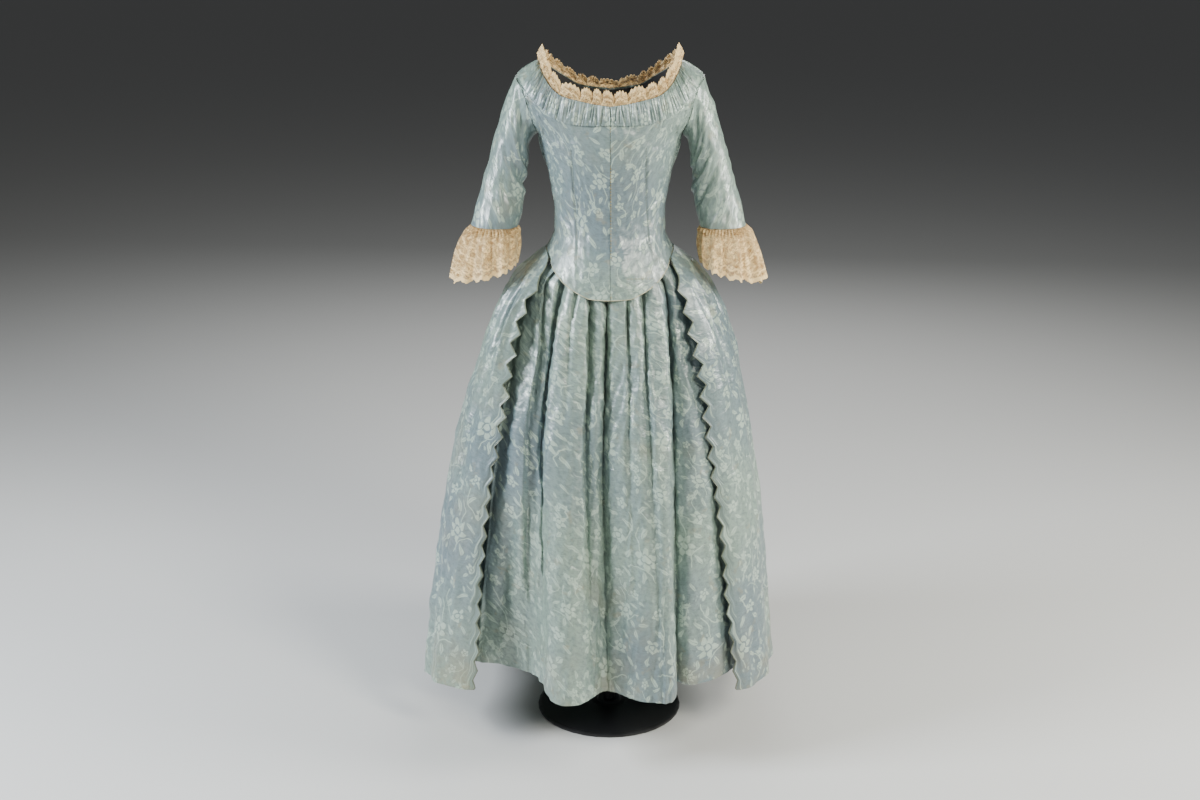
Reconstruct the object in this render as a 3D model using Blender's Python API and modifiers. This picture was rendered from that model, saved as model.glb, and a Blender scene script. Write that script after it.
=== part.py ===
"""Robe a la francaise of pale blue-green silk damask, with its petticoat, on a limbless dress form.

Metres, +Z up. The origin is on the floor under the middle of the base. +X is the wearer's left, and the
front of the robe looks along -Y. Each cloth piece is an open sheet with its thickness on the inside.
"""
import bisect
import math

import bmesh
import bpy
import numpy as np

SILK = 0.0012          # thickness of the silk walls
LACE = 0.0010          # thickness of the lace walls
SEAM = 0.0004          # each piece stops this far from the line of a seam
LAP = 0.0023           # a piece that lies over another is this far out from it
SACK_LAP = 0.0065      # the sack back's edges over the side backs
BULGE = 2.2            # exponent of the rounded sections of the torso and the sack
FRONT_BULGE = 2.4      # exponent of the petticoat's front
PLAN_Y = 0.03          # the skirt is widest on this line across the floor

CHEST_Z = 1.235        # above this height the torso turns in over the shoulders
SHOULDER_Z = 1.340     # shoulder seam at the neck
TIP_X, TIP_Z = 0.176, 1.3133
NECK_X = 0.137
CHEST_FRONT = 0.122    # depth of the chest before the axis, where it turns in
CHEST_BACK = 0.100

ROBE_HEM_Z = 0.120
PETTICOAT_HEM_Z = 0.150
WAIST_Z = 0.985        # seam of petticoat and waistband
TEETH = 21             # pinked teeth down each front edge of the robe

BASE_RADIUS = 0.150
BASE_THICK = 0.008
POLE_RADIUS = 0.0125
FLANGE_Z = 0.016
FORM_BOTTOM_Z = 0.800


def table(names, *rows):
    """Named columns of a short table whose first column rises."""
    return {name: [row[i] for row in rows] for i, name in enumerate(names.split())}


def curve(at, stations, values):
    """Smooth curve without overshoot through rising stations, level outside them."""
    if at <= stations[0]:
        return values[0]
    if at >= stations[-1]:
        return values[-1]
    slopes = np.diff(values) / np.diff(stations)

    def tangent(i):
        before = slopes[max(i - 1, 0)]
        after = slopes[min(i, len(slopes) - 1)]
        return 0.0 if before * after <= 0 else 2 * before * after / (before + after)

    i = bisect.bisect_right(stations, at) - 1
    span = stations[i + 1] - stations[i]
    s = (at - stations[i]) / span
    return (values[i] * (1 + 2 * s) * (1 - s) ** 2 + tangent(i) * span * s * (1 - s) ** 2
            + values[i + 1] * s * s * (3 - 2 * s) + tangent(i + 1) * span * s * s * (s - 1))


def look(rows, name, at):
    """Smooth value of a table's named column, at a value of its first column."""
    return curve(at, next(iter(rows.values())), rows[name])


# Outside of the bodice: half width, and depths before and behind the axis
TORSO = table(
    "z      half_width  front    back",
    (0.900, 0.1680, 0.1480, 0.108),
    (0.950, 0.1430, 0.1400, 0.098),
    (0.985, 0.1235, 0.1270, 0.088),
    (1.020, 0.1075, 0.1120, 0.083),
    (1.060, 0.1070, 0.1090, 0.086),
    (1.100, 0.1125, 0.1120, 0.092),
    (1.140, 0.1200, 0.1180, 0.097),
    (1.180, 0.1305, 0.1235, 0.101),
    (1.205, 0.1370, 0.1245, 0.102),
    (1.235, 0.1640, CHEST_FRONT, CHEST_BACK),
    (1.260, 0.1800, CHEST_FRONT, CHEST_BACK),
    (1.290, 0.1970, CHEST_FRONT, CHEST_BACK),
    (1.340, 0.2200, CHEST_FRONT, CHEST_BACK),
)

# Lower edge of the bodice, from the point at the centre front to the side seam, as a share of the half width
BODICE_HEM = table(
    "share z",
    (0.00, 0.909),
    (0.22, 0.911),
    (0.36, 0.919),
    (0.55, 0.934),
    (0.77, 0.958),
    (0.93, 0.980),
    (1.00, 0.987),
)

# Upper edge of a bodice front: neckline, shoulder seam and armhole. Each point has its column's place on the
# hem, and how late the column bends towards it
FRONT_TOP = table(
    "hem_share x   z    bend",
    (0.00, 0.0000, 1.2640, 1.2),
    (0.10, 0.0300, 1.2680, 1.2),
    (0.20, 0.0600, 1.2740, 1.2),
    (0.31, 0.0900, 1.2820, 1.2),
    (0.40, 0.1100, 1.2970, 1.2),
    (0.48, 0.1255, 1.3190, 1.2),
    (0.55, NECK_X, SHOULDER_Z, 1.3),
    (0.63, TIP_X, TIP_Z, 2.0),
    (0.70, 0.1680, 1.2980, 2.5),
    (0.80, 0.1560, 1.2700, 2.5),
    (0.88, 0.1480, 1.2400, 4.0),
    (0.94, 0.1400, 1.2160, 10.0),
    (1.00, 0.1370, 1.2050, 1.0),
)
NECK_ROW, TIP_ROW = 6, 7
BEND_Z = 1.14
FRONT_ROWS, BACK_ROWS = 11, 10
UPPER_HALF = table("z half_width", (1.205, 0.137), (1.290, 0.150))
DART_ROW = 6
DART = table("z depth", (0.99, 0.0006), (1.06, 0.0012), (1.12, 0.0012), (1.17, 0.0))

# Upper edge of a side back, from the underarm over the shoulder to beneath the sack
BACK_TOP = table(
    "order x  z   hem_share bend",
    (0, 0.1370, 1.2050, 1.00, 1.0),
    (1, 0.1400, 1.2160, 0.94, 10.0),
    (2, 0.1470, 1.2400, 0.91, 4.0),
    (3, 0.1550, 1.2700, 0.88, 2.5),
    (4, 0.1670, 1.2980, 0.85, 2.5),
    (5, TIP_X, TIP_Z, 0.82, 2.6),
    (6, NECK_X, SHOULDER_Z, 0.78, 1.3),
    (7, 0.1200, 1.3280, 0.75, 1.2),
    (8, 0.1030, 1.3160, 0.72, 1.2),
    (9, 0.0850, 1.3040, 0.69, 1.2),
)
BACK_TIP_ROW, BACK_NECK_ROW = 5, 6
BACK_NECK = table("x z", (0.0, 1.279), (0.056, 1.287), (0.085, 1.304), (0.103, 1.316))

# Ruched band on the neckline: its upper edge and its lower edge
BAND = table(
    "order x z  low_x low_z",
    (0, 0.0006, 1.2635, 0.0006, 1.2310),
    (1, 0.0300, 1.2675, 0.0330, 1.2300),
    (2, 0.0600, 1.2735, 0.0670, 1.2320),
    (3, 0.0900, 1.2815, 0.0980, 1.2400),
    (4, 0.1100, 1.2965, 0.1240, 1.2560),
    (5, 0.1255, 1.3185, 0.1480, 1.2790),
    (6, 0.1365, 1.3385, 0.1720, 1.3150),
)
BAND_GATHERS = 20
BAND_ROWS = 4
BAND_RISE = 0.0026
BAND_SECOND_RISE = 0.0009
BAND_EDGE_RISE = 0.0008

# Sleeve rings from the armhole to the hem: underarm point, outer point, half depth and centre
SLEEVE = table(
    "order in_x  in_z   out_x   out_z  half_depth y",
    (0, 0.1460, 1.1980, 0.1900, 1.2860, 0.0575, 0.000),
    (1, 0.1530, 1.1830, 0.2050, 1.2470, 0.0570, 0.000),
    (2, 0.1560, 1.1600, 0.2175, 1.2070, 0.0545, 0.000),
    (3, 0.1600, 1.1300, 0.2310, 1.1600, 0.0520, 0.000),
    (4, 0.1630, 1.0980, 0.2440, 1.1140, 0.0500, -0.002),
    (5, 0.1660, 1.0700, 0.2550, 1.0780, 0.0490, -0.006),
    (6, 0.1720, 1.0450, 0.2625, 1.0490, 0.0480, -0.010),
    (7, 0.1770, 1.0270, 0.2675, 1.0300, 0.0475, -0.013),
)
SLEEVE_OUT = {"right": 1.0, "left": 0.985}

# Sleeve ruffle: share of the fall, and how far the ring has spread outward, inward, and front to back
RUFFLE = table(
    "fall outer  inner   depth  wave",
    (0.00, 0.000, 0.000, 0.000, 0.0000),
    (0.15, 0.012, 0.003, 0.010, 0.0030),
    (0.45, 0.024, 0.004, 0.021, 0.0055),
    (0.75, 0.031, 0.001, 0.027, 0.0075),
    (1.00, 0.036, -0.003, 0.030, 0.0090),
)
RUFFLE_COLUMNS = 40
RUFFLE_WAVES = 10
RUFFLE_FALL_OUT = 0.106
RUFFLE_FALL_IN = 0.066
RUFFLE_INNER_WAVE = 0.4    # share of the waves' depth on the side towards the body
RUFFLE_SCALLOP = 0.003
RUFFLE_TOP_SHARE = 0.996   # the ruffle's top ring against the sleeve's hem

# Petticoat: half width of the hidden sides, front at the centre, and back
PETTICOAT = table(
    "z      half_width front   back",
    (0.150, 0.3330, 0.262, 0.385),
    (0.400, 0.2980, 0.225, 0.335),
    (0.631, 0.2620, 0.186, 0.262),
    (0.813, 0.2180, 0.152, 0.188),
    (0.926, 0.1700, 0.133, 0.118),
    (0.955, 0.1340, 0.119, 0.100),
    (0.985, 0.1080, 0.105, 0.080),
)
# Petticoat folds seen in front, left to right: where each line runs at four heights, how far it stands
# forward of the plain front at the hip and at the knee, and its place on the hem
FOLDS = table(
    "hip_x   upper_x knee_x  hem_x   hip   knee    hem_y",
    (-0.152, -0.176, -0.214, -0.262, 0.000, 0.000, -0.112),
    (-0.139, -0.156, -0.191, -0.221, 0.003, 0.006, -0.120),
    (-0.128, -0.138, -0.167, -0.178, 0.005, 0.010, -0.148),
    (-0.123, -0.132, -0.158, -0.158, -0.003, -0.004, -0.160),
    (-0.105, -0.117, -0.139, -0.141, -0.002, -0.004, -0.184),
    (-0.092, -0.110, -0.129, -0.131, -0.009, -0.014, -0.212),
    (-0.078, -0.103, -0.119, -0.116, 0.003, 0.010, -0.276),
    (-0.062, -0.078, -0.084, -0.082, 0.005, 0.016, -0.302),
    (-0.047, -0.047, -0.056, -0.050, 0.004, 0.010, -0.288),
    (-0.039, -0.040, -0.046, -0.032, -0.008, -0.004, -0.265),
    (-0.016, -0.018, -0.028, -0.017, 0.003, 0.000, -0.247),
    (-0.006, -0.007, -0.013, -0.004, -0.009, -0.012, -0.238),
    (0.005, 0.006, 0.001, 0.016, 0.003, 0.001, -0.250),
    (0.024, 0.026, 0.025, 0.040, 0.003, 0.006, -0.269),
    (0.031, 0.034, 0.037, 0.058, -0.005, 0.006, -0.281),
    (0.046, 0.052, 0.058, 0.082, 0.003, 0.011, -0.288),
    (0.062, 0.066, 0.076, 0.101, -0.005, 0.009, -0.290),
    (0.074, 0.078, 0.090, 0.113, 0.003, 0.014, -0.290),
    (0.092, 0.106, 0.113, 0.127, 0.004, 0.014, -0.272),
    (0.104, 0.115, 0.123, 0.133, -0.009, -0.022, -0.206),
    (0.119, 0.127, 0.145, 0.160, 0.002, -0.006, -0.213),
    (0.132, 0.142, 0.172, 0.204, 0.001, 0.000, -0.190),
    (0.146, 0.155, 0.196, 0.246, -0.002, -0.004, -0.142),
)
WAIST_SHARE = 0.54     # the pleats draw in to this share of their hip spacing at the waistband
WAIST_FOLD_SHARE = 0.3  # and keep this share of their depth there
SIDE_STEPS = 6         # steps from the last front pleat to the widest point, and from there to the back
BACK_WAVES = 8
BACK_WAVE_WAIST, BACK_WAVE_HEM = 0.0005, 0.0140
PETTICOAT_ROWS = (0.985, 0.966, 0.942, 0.912, 0.870, 0.813, 0.735, 0.631, 0.490, 0.325, PETTICOAT_HEM_Z)

# Robe skirt: half width on the wearer's right and left, front edges, and the line of its widest point
ROBE = table(
    "z      right  left  right_edge left_edge edge_y  right_y left_y",
    (0.120, 0.3840, 0.3490, 0.270, 0.253, -0.175, -0.085, 0.010),
    (0.225, 0.3730, 0.3370, 0.260, 0.241, -0.168, -0.070, 0.010),
    (0.330, 0.3580, 0.3280, 0.254, 0.228, -0.163, -0.055, 0.010),
    (0.433, 0.3450, 0.3180, 0.244, 0.219, -0.158, -0.040, 0.010),
    (0.545, 0.3250, 0.3010, 0.230, 0.202, -0.154, -0.020, 0.010),
    (0.612, 0.3110, 0.2890, 0.217, 0.192, -0.152, -0.010, 0.010),
    (0.691, 0.2880, 0.2740, 0.203, 0.182, -0.149, 0.000, 0.010),
    (0.775, 0.2600, 0.2580, 0.190, 0.170, -0.144, 0.005, 0.010),
    (0.833, 0.2390, 0.2420, 0.178, 0.156, -0.138, 0.010, 0.010),
    (0.887, 0.2160, 0.2200, 0.162, 0.143, -0.129, 0.010, 0.010),
    (0.929, 0.1910, 0.1950, 0.138, 0.131, -0.115, 0.010, 0.010),
    (0.966, 0.1500, 0.1560, 0.118, 0.121, -0.081, 0.008, 0.008),
    (0.986, 0.1245, 0.1245, 0.115, 0.117, -0.057, 0.005, 0.005),
)
ROBE_TOP = table("along z", (0.0, 0.9640), (0.5, 0.9760), (1.0, 0.9862), (2.0, 0.9862))
ROBE_COLUMNS = (0.0, 0.12, 0.34, 0.66, 1.0, 1.25, 1.5, 1.75, 2.0)
ROBE_ROWS = 2 * TEETH
ROBE_SEAM = 0.0011     # between the robe skirt's back edge and the sack's edge
FADE_FROM = 1.75       # the folds fade from here along the skirt to its back edge
FOLD_RUN_IN = 12       # they reach their depth in one part of this many of the skirt's fall
TOOTH = table("z depth", (0.120, 0.0040), (0.500, 0.0050), (0.750, 0.0080), (0.900, 0.0070), (0.955, 0.0030))
# Soft folds of the robe skirt: where they lie along it at the waist and at the hem, and how far out
ROBE_FOLDS = table(
    "waist  hem  width  waist_out hem_out",
    (0.45, 0.40, 0.16, 0.0030, 0.010),
    (0.85, 0.78, 0.14, 0.0060, 0.014),
    (1.20, 1.20, 0.14, 0.0060, 0.018),
    (1.60, 1.60, 0.16, 0.0040, 0.020),
)

# Sack back: half width, and how far behind the axis its edge and its middle fall
SACK = table(
    "z      half_width edge   middle  pleat",
    (0.105, 0.262, 0.352, 0.425, 0.0150),
    (0.300, 0.245, 0.320, 0.385, 0.0120),
    (0.500, 0.225, 0.280, 0.335, 0.0100),
    (0.700, 0.200, 0.226, 0.275, 0.0085),
    (0.850, 0.165, 0.166, 0.222, 0.0070),
    (0.930, 0.130, 0.112, 0.192, 0.0062),
    (0.985, 0.095, 0.067, 0.172, 0.0060),
    (1.030, 0.088, 0.060, 0.158, 0.0056),
    (1.150, 0.095, 0.070, 0.131, 0.0050),
    (1.240, 0.097, 0.080, 0.107, 0.0044),
    (1.316, 0.096, 0.080, 0.088, 0.0040),
)
# Half of the double box pleats, from the centre back outward: share of the half width, and layers of cloth
BOX_PLEATS = table(
    "share layers",
    (0.00, 0.0),
    (0.05, 0.1),
    (0.09, 1.9),
    (0.24, 2.2),
    (0.42, 2.0),
    (0.47, 1.0),
    (0.64, 1.2),
    (0.82, 1.0),
    (0.87, 0.1),
    (1.00, 0.0),
)
SACK_ROWS = (1.0, 0.955, 0.90, 0.83, 0.78, 0.745, 0.71, 0.67, 0.63, 0.57, 0.48, 0.36, 0.18, 0.0)

LACE_COLUMNS = 84
LACE_WAVES = 28
LACE_HEIGHT = table("x height", (0.0, 0.027), (0.06, 0.028), (0.11, 0.029), (0.137, 0.029))
LACE_BACK_SHARE = 0.72
LACE_RISES = (0.0, 0.5, 1.0)
LACE_WAVE = 0.0045
LACE_LEAN = 0.006
LACE_CLUSTER = 0.15    # how much lower the lace is between its clusters

WAISTBAND_TOP_Z = 1.012
WAISTBAND_GAP = 0.0020   # its outside from the form
WAISTBAND_COLUMNS = 36

# Dress form inside the bodice and above the pole
FORM_COLUMNS = 28
FORM_INSET = 0.0030      # between the form and the bodice, below the underarm
CHEST_INSET = 0.0050
FORM = table(
    "z      half_width front  back",
    (0.800, 0.110, 0.090, 0.100),
    (0.830, 0.122, 0.100, 0.108),
    (0.900, 0.127, 0.104, 0.106),
    (0.950, 0.106, 0.098, 0.080),
    (0.982, 0.1008, 0.1010, 0.0750),
    (1.020, 0.1010, 0.1055, 0.0765),
)
FORM_TOP = table("z half_width",
                 (1.205, 0.133), (1.235, 0.141), (1.260, 0.146), (1.290, 0.156), (1.315, 0.166))
FORM_RIM = table("x drop", (0.0, 0.013), (0.10, 0.015), (0.137, 0.024), (0.160, 0.018))
FORM_LEVELS = (FORM_BOTTOM_Z, 0.820, 0.870, 0.930, 0.965, 0.985, 1.015, 1.045, 1.080, 1.130, 1.180, 1.212)
FORM_RISES = (0.35, 0.7, 1.0)
FORM_SCOOP_Z = 1.232
FORM_SCOOP_SHARES = (0.90, 0.6, 0.3)
FORM_SCOOP_BEND = 4


def material(name, colour, roughness, metallic=0.0):
    """A plain surface with the piece's own colour."""
    made = bpy.data.materials.new(name)
    made.use_nodes = True
    shader = made.node_tree.nodes["Principled BSDF"]
    shader.inputs["Base Color"].default_value = (*colour, 1.0)
    shader.inputs["Roughness"].default_value = roughness
    shader.inputs["Metallic"].default_value = metallic
    return made


def add_mesh(collection, name, points, faces, finish):
    """A new object of the collection with this mesh and finish, shaded smooth."""
    mesh = bpy.data.meshes.new(name)
    mesh.from_pydata([tuple(point) for point in points], [], faces)
    mesh.validate()
    mesh.shade_smooth()
    made = bpy.data.objects.new(name, mesh)
    made.data.materials.append(finish)
    collection.objects.link(made)
    return made


def grid_faces(rows, columns, closed):
    """Quads between the points of a grid, numbered row by row."""
    last = columns if closed else columns - 1
    return [(r * columns + c, r * columns + (c + 1) % columns,
             (r + 1) * columns + (c + 1) % columns, (r + 1) * columns + c)
            for r in range(rows - 1) for c in range(last)]


def grid_normals(grid, closed):
    """Unit normal at each point of a grid, from its neighbours, pointing away from the piece's inside."""
    if closed:
        across = np.roll(grid, -1, axis=1) - np.roll(grid, 1, axis=1)
        inside = np.repeat(grid.mean(axis=1, keepdims=True), grid.shape[1], axis=1)
    else:
        across = np.gradient(grid, axis=1)
        inside = np.zeros_like(grid)
        inside[..., 1] = PLAN_Y / 2
        inside[..., 2] = grid[..., 2] - 0.02
    normals = np.cross(across, np.gradient(grid, axis=0))
    normals /= np.maximum(np.linalg.norm(normals, axis=2, keepdims=True), 1e-9)
    facing = np.sum(normals * (grid - inside))
    return normals if facing > 0 else -normals


def moved_out(grid, distance, closed=False):
    """The grid with each point moved out along its normal."""
    return grid + grid_normals(grid, closed) * distance


def sheet(collection, name, grid, thickness, finish, closed=False):
    """A cloth wall: the grid is its outside, and its thickness lies within."""
    grid = np.asarray(grid, dtype=float)
    rows, columns, _ = grid.shape
    faces = grid_faces(rows, columns, closed)
    corner = [grid.reshape(-1, 3)[index] for index in faces[len(faces) // 2]]
    normal = np.cross(corner[1] - corner[0], corner[3] - corner[0])
    middle = (rows - 1) * (columns if closed else columns - 1) // 2
    at = np.unravel_index(faces[middle][0], (rows, columns))
    if np.dot(normal, grid_normals(grid, closed)[at]) < 0:
        faces = [face[::-1] for face in faces]
    made = add_mesh(collection, name, grid.reshape(-1, 3), faces, finish)
    wall = made.modifiers.new("Wall", "SOLIDIFY")
    wall.thickness = thickness
    wall.offset = -1.0
    return made


def arc_power(share, exponent):
    """Height of a rounded section at a share of its half width."""
    return max(0.0, 1.0 - abs(share) ** exponent) ** (1.0 / exponent)


def shoulder_z(x):
    """Height of the shoulder line, level to the neck and falling to the tip."""
    fall = (abs(x) - NECK_X) / (TIP_X - NECK_X)
    return SHOULDER_Z - max(0.0, fall) * (SHOULDER_Z - TIP_Z)


def torso_level(x, z):
    """Height in the torso's table that a point of the sloping shoulder stands for."""
    if z <= CHEST_Z:
        return z
    return CHEST_Z + (z - CHEST_Z) * (SHOULDER_Z - CHEST_Z) / (shoulder_z(x) - CHEST_Z)


def torso_y(x, z, face):
    """Depth of the bodice's outside at a place of its front or back."""
    level = torso_level(x, z)
    rise = min(1.0, max(0.0, (level - CHEST_Z) / (SHOULDER_Z - CHEST_Z)))
    depth = look(TORSO, face, level) * math.sqrt(1.0 - rise * rise)
    half = look(TORSO, "half_width", level)
    out = depth * arc_power(min(1.0, abs(x) / half), BULGE) + SEAM
    return -out if face == "front" else out


def torso_column(hem_share, hem_z, top_x, top_z, bend, face, rows, mirror):
    """Points up the bodice, from a share of its half width at the hem to a point of its upper edge."""
    points = []
    for row in range(rows + 1):
        z = hem_z + (top_z - hem_z) * math.sin(0.5 * math.pi * row / rows)
        widths = TORSO if z < UPPER_HALF["z"][0] else UPPER_HALF
        x = hem_share * look(widths, "half_width", z)
        x += (top_x - x) * (max(0.0, z - BEND_Z) / (top_z - BEND_Z)) ** bend
        points.append((mirror * max(x, SEAM), torso_y(x, z, face), z))
    return points


def bodice_front(mirror):
    """Grid of a bodice front, from the centre front to the side seam."""
    columns = []
    for i, share in enumerate(FRONT_TOP["hem_share"]):
        hem_z = look(BODICE_HEM, "z", share)
        column = torso_column(share, hem_z, FRONT_TOP["x"][i], FRONT_TOP["z"][i], FRONT_TOP["bend"][i],
                              "front", FRONT_ROWS, mirror)
        if i == DART_ROW:
            column = [(x, y + look(DART, "depth", z) * (z > DART["z"][0]), z) for x, y, z in column]
        columns.append(column)
    return np.array(columns).transpose(1, 0, 2)


def bodice_side_back(mirror):
    """Grid of a side back, from the side seam to its edge beneath the sack."""
    columns = [torso_column(BACK_TOP["hem_share"][i], BODICE_HEM["z"][-1], BACK_TOP["x"][i],
                            BACK_TOP["z"][i], BACK_TOP["bend"][i], "back", BACK_ROWS, mirror)
               for i in BACK_TOP["order"]]
    return np.array(columns).transpose(1, 0, 2)


def neck_band(mirror):
    """Grid of a ruched band: from the bodice's points, moved out, with narrow gathers down it."""
    columns = 2 * BAND_GATHERS + 1
    rows = BAND_ROWS
    grid = np.zeros((rows, columns, 3))
    for c in range(columns):
        order = c / (columns - 1) * BAND["order"][-1]
        top = np.array([look(BAND, "x", order), look(BAND, "z", order)])
        low = np.array([look(BAND, "low_x", order), look(BAND, "low_z", order)])
        for r in range(rows):
            x, z = top + (low - top) * r / (rows - 1)
            z = min(z, shoulder_z(x) - SEAM / 2)
            grid[r, c] = (mirror * x, torso_y(x, z, "front"), z)
    out = np.full((rows, columns, 1), LAP)
    out[1:-1, 1::2] += BAND_RISE
    out[1:-1, 2::4] += BAND_SECOND_RISE
    out[-1, 1::2] += BAND_EDGE_RISE
    return moved_out(grid, out)


def armhole(mirror):
    """Points round an armhole: from the tip down the front to the underarm, and up the back."""
    front = [(FRONT_TOP["x"][i], FRONT_TOP["z"][i], "front") for i in range(TIP_ROW, len(FRONT_TOP["x"]))]
    back = [(BACK_TOP["x"][i], BACK_TOP["z"][i], "back") for i in range(1, BACK_TIP_ROW)]
    loop = np.array([(mirror * x, torso_y(x, z, face), z) for x, z, face in front + back])
    halfway = (loop + np.roll(loop, -1, axis=0)) / 2
    return np.stack([loop, halfway], axis=1).reshape(-1, 3)


def sleeve_ring(side, order, angles):
    """Points of one sleeve ring, at the angles that the armhole's points have."""
    mirror = -1 if side == "right" else 1
    row = {name: look(SLEEVE, name, order) for name in SLEEVE}
    spread = SLEEVE_OUT[side]
    low = np.array([mirror * row["in_x"] * spread, row["y"], row["in_z"]])
    high = np.array([mirror * row["out_x"] * spread, row["y"], row["out_z"]])
    centre, up = (low + high) / 2, (high - low) / 2
    front = np.array([0.0, -row["half_depth"], 0.0])
    return np.array([centre + up * math.cos(angle) + front * math.sin(angle) for angle in angles])


def sleeve_angles(side):
    """Angle of each armhole point about the middle of the armhole, 0 at the shoulder tip."""
    mirror = -1 if side == "right" else 1
    loop = armhole(mirror)
    top, bottom = loop[0], loop[len(loop) // 2]
    centre, up = (top + bottom) / 2, (top - bottom) / 2
    depth = max(abs(loop[:, 1]))
    angles = []
    for point in loop:
        along = np.dot(point - centre, up) / np.dot(up, up)
        angles.append(math.atan2(-(point[1] - centre[1]) / depth, along))
    return angles


def sleeve(side):
    """Grid of a sleeve, from the armhole to the hem below the elbow."""
    mirror = -1 if side == "right" else 1
    head = armhole(mirror) + np.array([mirror * 2.5 * SEAM, 0.0, 0.0])
    angles = sleeve_angles(side)
    rings = [sleeve_ring(side, order, angles) for order in SLEEVE["order"]]
    return np.array([head] + rings)


def sleeve_ruffle(side):
    """Grid of a gathered sleeve ruffle, from the sleeve hem down."""
    mirror = -1 if side == "right" else 1
    last = SLEEVE["order"][-1]
    steps = np.arange(RUFFLE_COLUMNS) / RUFFLE_COLUMNS
    angles = 2 * math.pi * steps
    ring = sleeve_ring(side, last, angles)
    centre = ring.mean(axis=0)
    grid = []
    for i, fall in enumerate(RUFFLE["fall"]):
        points = []
        for k, angle in enumerate(angles):
            outer = 0.5 + 0.5 * math.cos(angle)
            spread = RUFFLE["outer"][i] * outer + RUFFLE["inner"][i] * (1 - outer)
            drop = RUFFLE_FALL_OUT * outer + RUFFLE_FALL_IN * (1 - outer)
            lean = 0.5 * math.sin(2 * angle + 0.8) + 0.35 * math.sin(5 * angle + mirror)
            wave = math.cos(RUFFLE_WAVES * angle + lean)
            out = RUFFLE["wave"][i] * wave * (RUFFLE_INNER_WAVE + (1 - RUFFLE_INNER_WAVE) * outer)
            scallop = RUFFLE_SCALLOP * fall * math.cos(2 * RUFFLE_WAVES * angle)
            x, y, z = ring[k]
            x += mirror * math.cos(angle) * (spread + out)
            y -= math.sin(angle) * (RUFFLE["depth"][i] + out)
            points.append((x, y, z - 1.5 * SEAM - drop * fall + scallop))
        grid.append(points)
    grid = np.array(grid)
    grid[0] = centre + (grid[0] - centre) * RUFFLE_TOP_SHARE
    return grid


def spline(points, at):
    """Catmull-Rom curve through points, at a place that counts them from 0."""
    last = len(points) - 1
    i = min(int(at), last - 1)
    s = at - i
    a, b = points[max(i - 1, 0)], points[i]
    c, d = points[i + 1], points[min(i + 2, last)]
    return 0.5 * (2 * b + (c - a) * s + (2 * a - 5 * b + 4 * c - d) * s * s
                  + (3 * b - a - 3 * c + d) * s ** 3)


def fold_point(i, z):
    """Place in plan of a petticoat fold at a height."""
    levels = (PETTICOAT_HEM_Z, 0.631, 0.813, 0.926, WAIST_Z)
    xs = (FOLDS["hem_x"][i], FOLDS["knee_x"][i], FOLDS["upper_x"][i], FOLDS["hip_x"][i],
          FOLDS["hip_x"][i] * WAIST_SHARE)
    hip, knee = FOLDS["hip"][i], FOLDS["knee"][i]
    forward = (None, knee, (hip + knee) / 2, hip, WAIST_FOLD_SHARE * hip)
    ys = [FOLDS["hem_y"][i]]
    for level, x, out in zip(levels[1:], xs[1:], forward[1:]):
        share = x / look(PETTICOAT, "half_width", level)
        ys.append(-look(PETTICOAT, "front", level) * arc_power(share, FRONT_BULGE) - out)
    return np.array([curve(z, levels, xs), curve(z, levels, ys)])


def quarter(start, end, at, from_side=False):
    """Point on a quarter of an oval: it leaves its start along X, or along Y where from_side is set."""
    turn = 0.5 * math.pi * at
    along, across = math.sin(turn), 1 - math.cos(turn)
    if from_side:
        along, across = across, along
    return np.array([start[0] + (end[0] - start[0]) * along, start[1] + (end[1] - start[1]) * across])


def petticoat():
    """Grid of the petticoat: pleats in front, and a plainer round of soft waves at the sides and back."""
    count = len(FOLDS["hip_x"])
    grid = []
    for z in PETTICOAT_ROWS:
        folds = [fold_point(i, z) for i in range(count)]
        ring = [spline(folds, at) for at in np.arange(0, count - 0.9, 0.5)]
        half = look(PETTICOAT, "half_width", z)
        back = look(PETTICOAT, "back", z)
        widest, middle = (half, PLAN_Y), (0.0, back)
        fall = (WAIST_Z - z) / (WAIST_Z - PETTICOAT_HEM_Z)
        wave = BACK_WAVE_WAIST + (BACK_WAVE_HEM - BACK_WAVE_WAIST) * fall
        steps = [k / SIDE_STEPS for k in range(SIDE_STEPS + 1)]
        right = [quarter(folds[-1], widest, at) for at in steps[1:-1]]
        right += [quarter(widest, middle, at, True) for at in steps]
        left = [quarter(folds[0] * (-1, 1), widest, at) for at in steps[1:-1]]
        left += [quarter(widest, middle, at, True) for at in steps[:-1]]
        hidden = right + [point * (-1, 1) for point in reversed(left)]
        for k, point in enumerate(hidden):
            inward = wave * (0.5 - 0.5 * math.cos(2 * math.pi * BACK_WAVES * (k + 1) / len(hidden)))
            ring.append(point * (1 - inward / max(half, back)))
        grid.append([(x, y, z) for x, y in ring])
    return np.array(grid)


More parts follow.
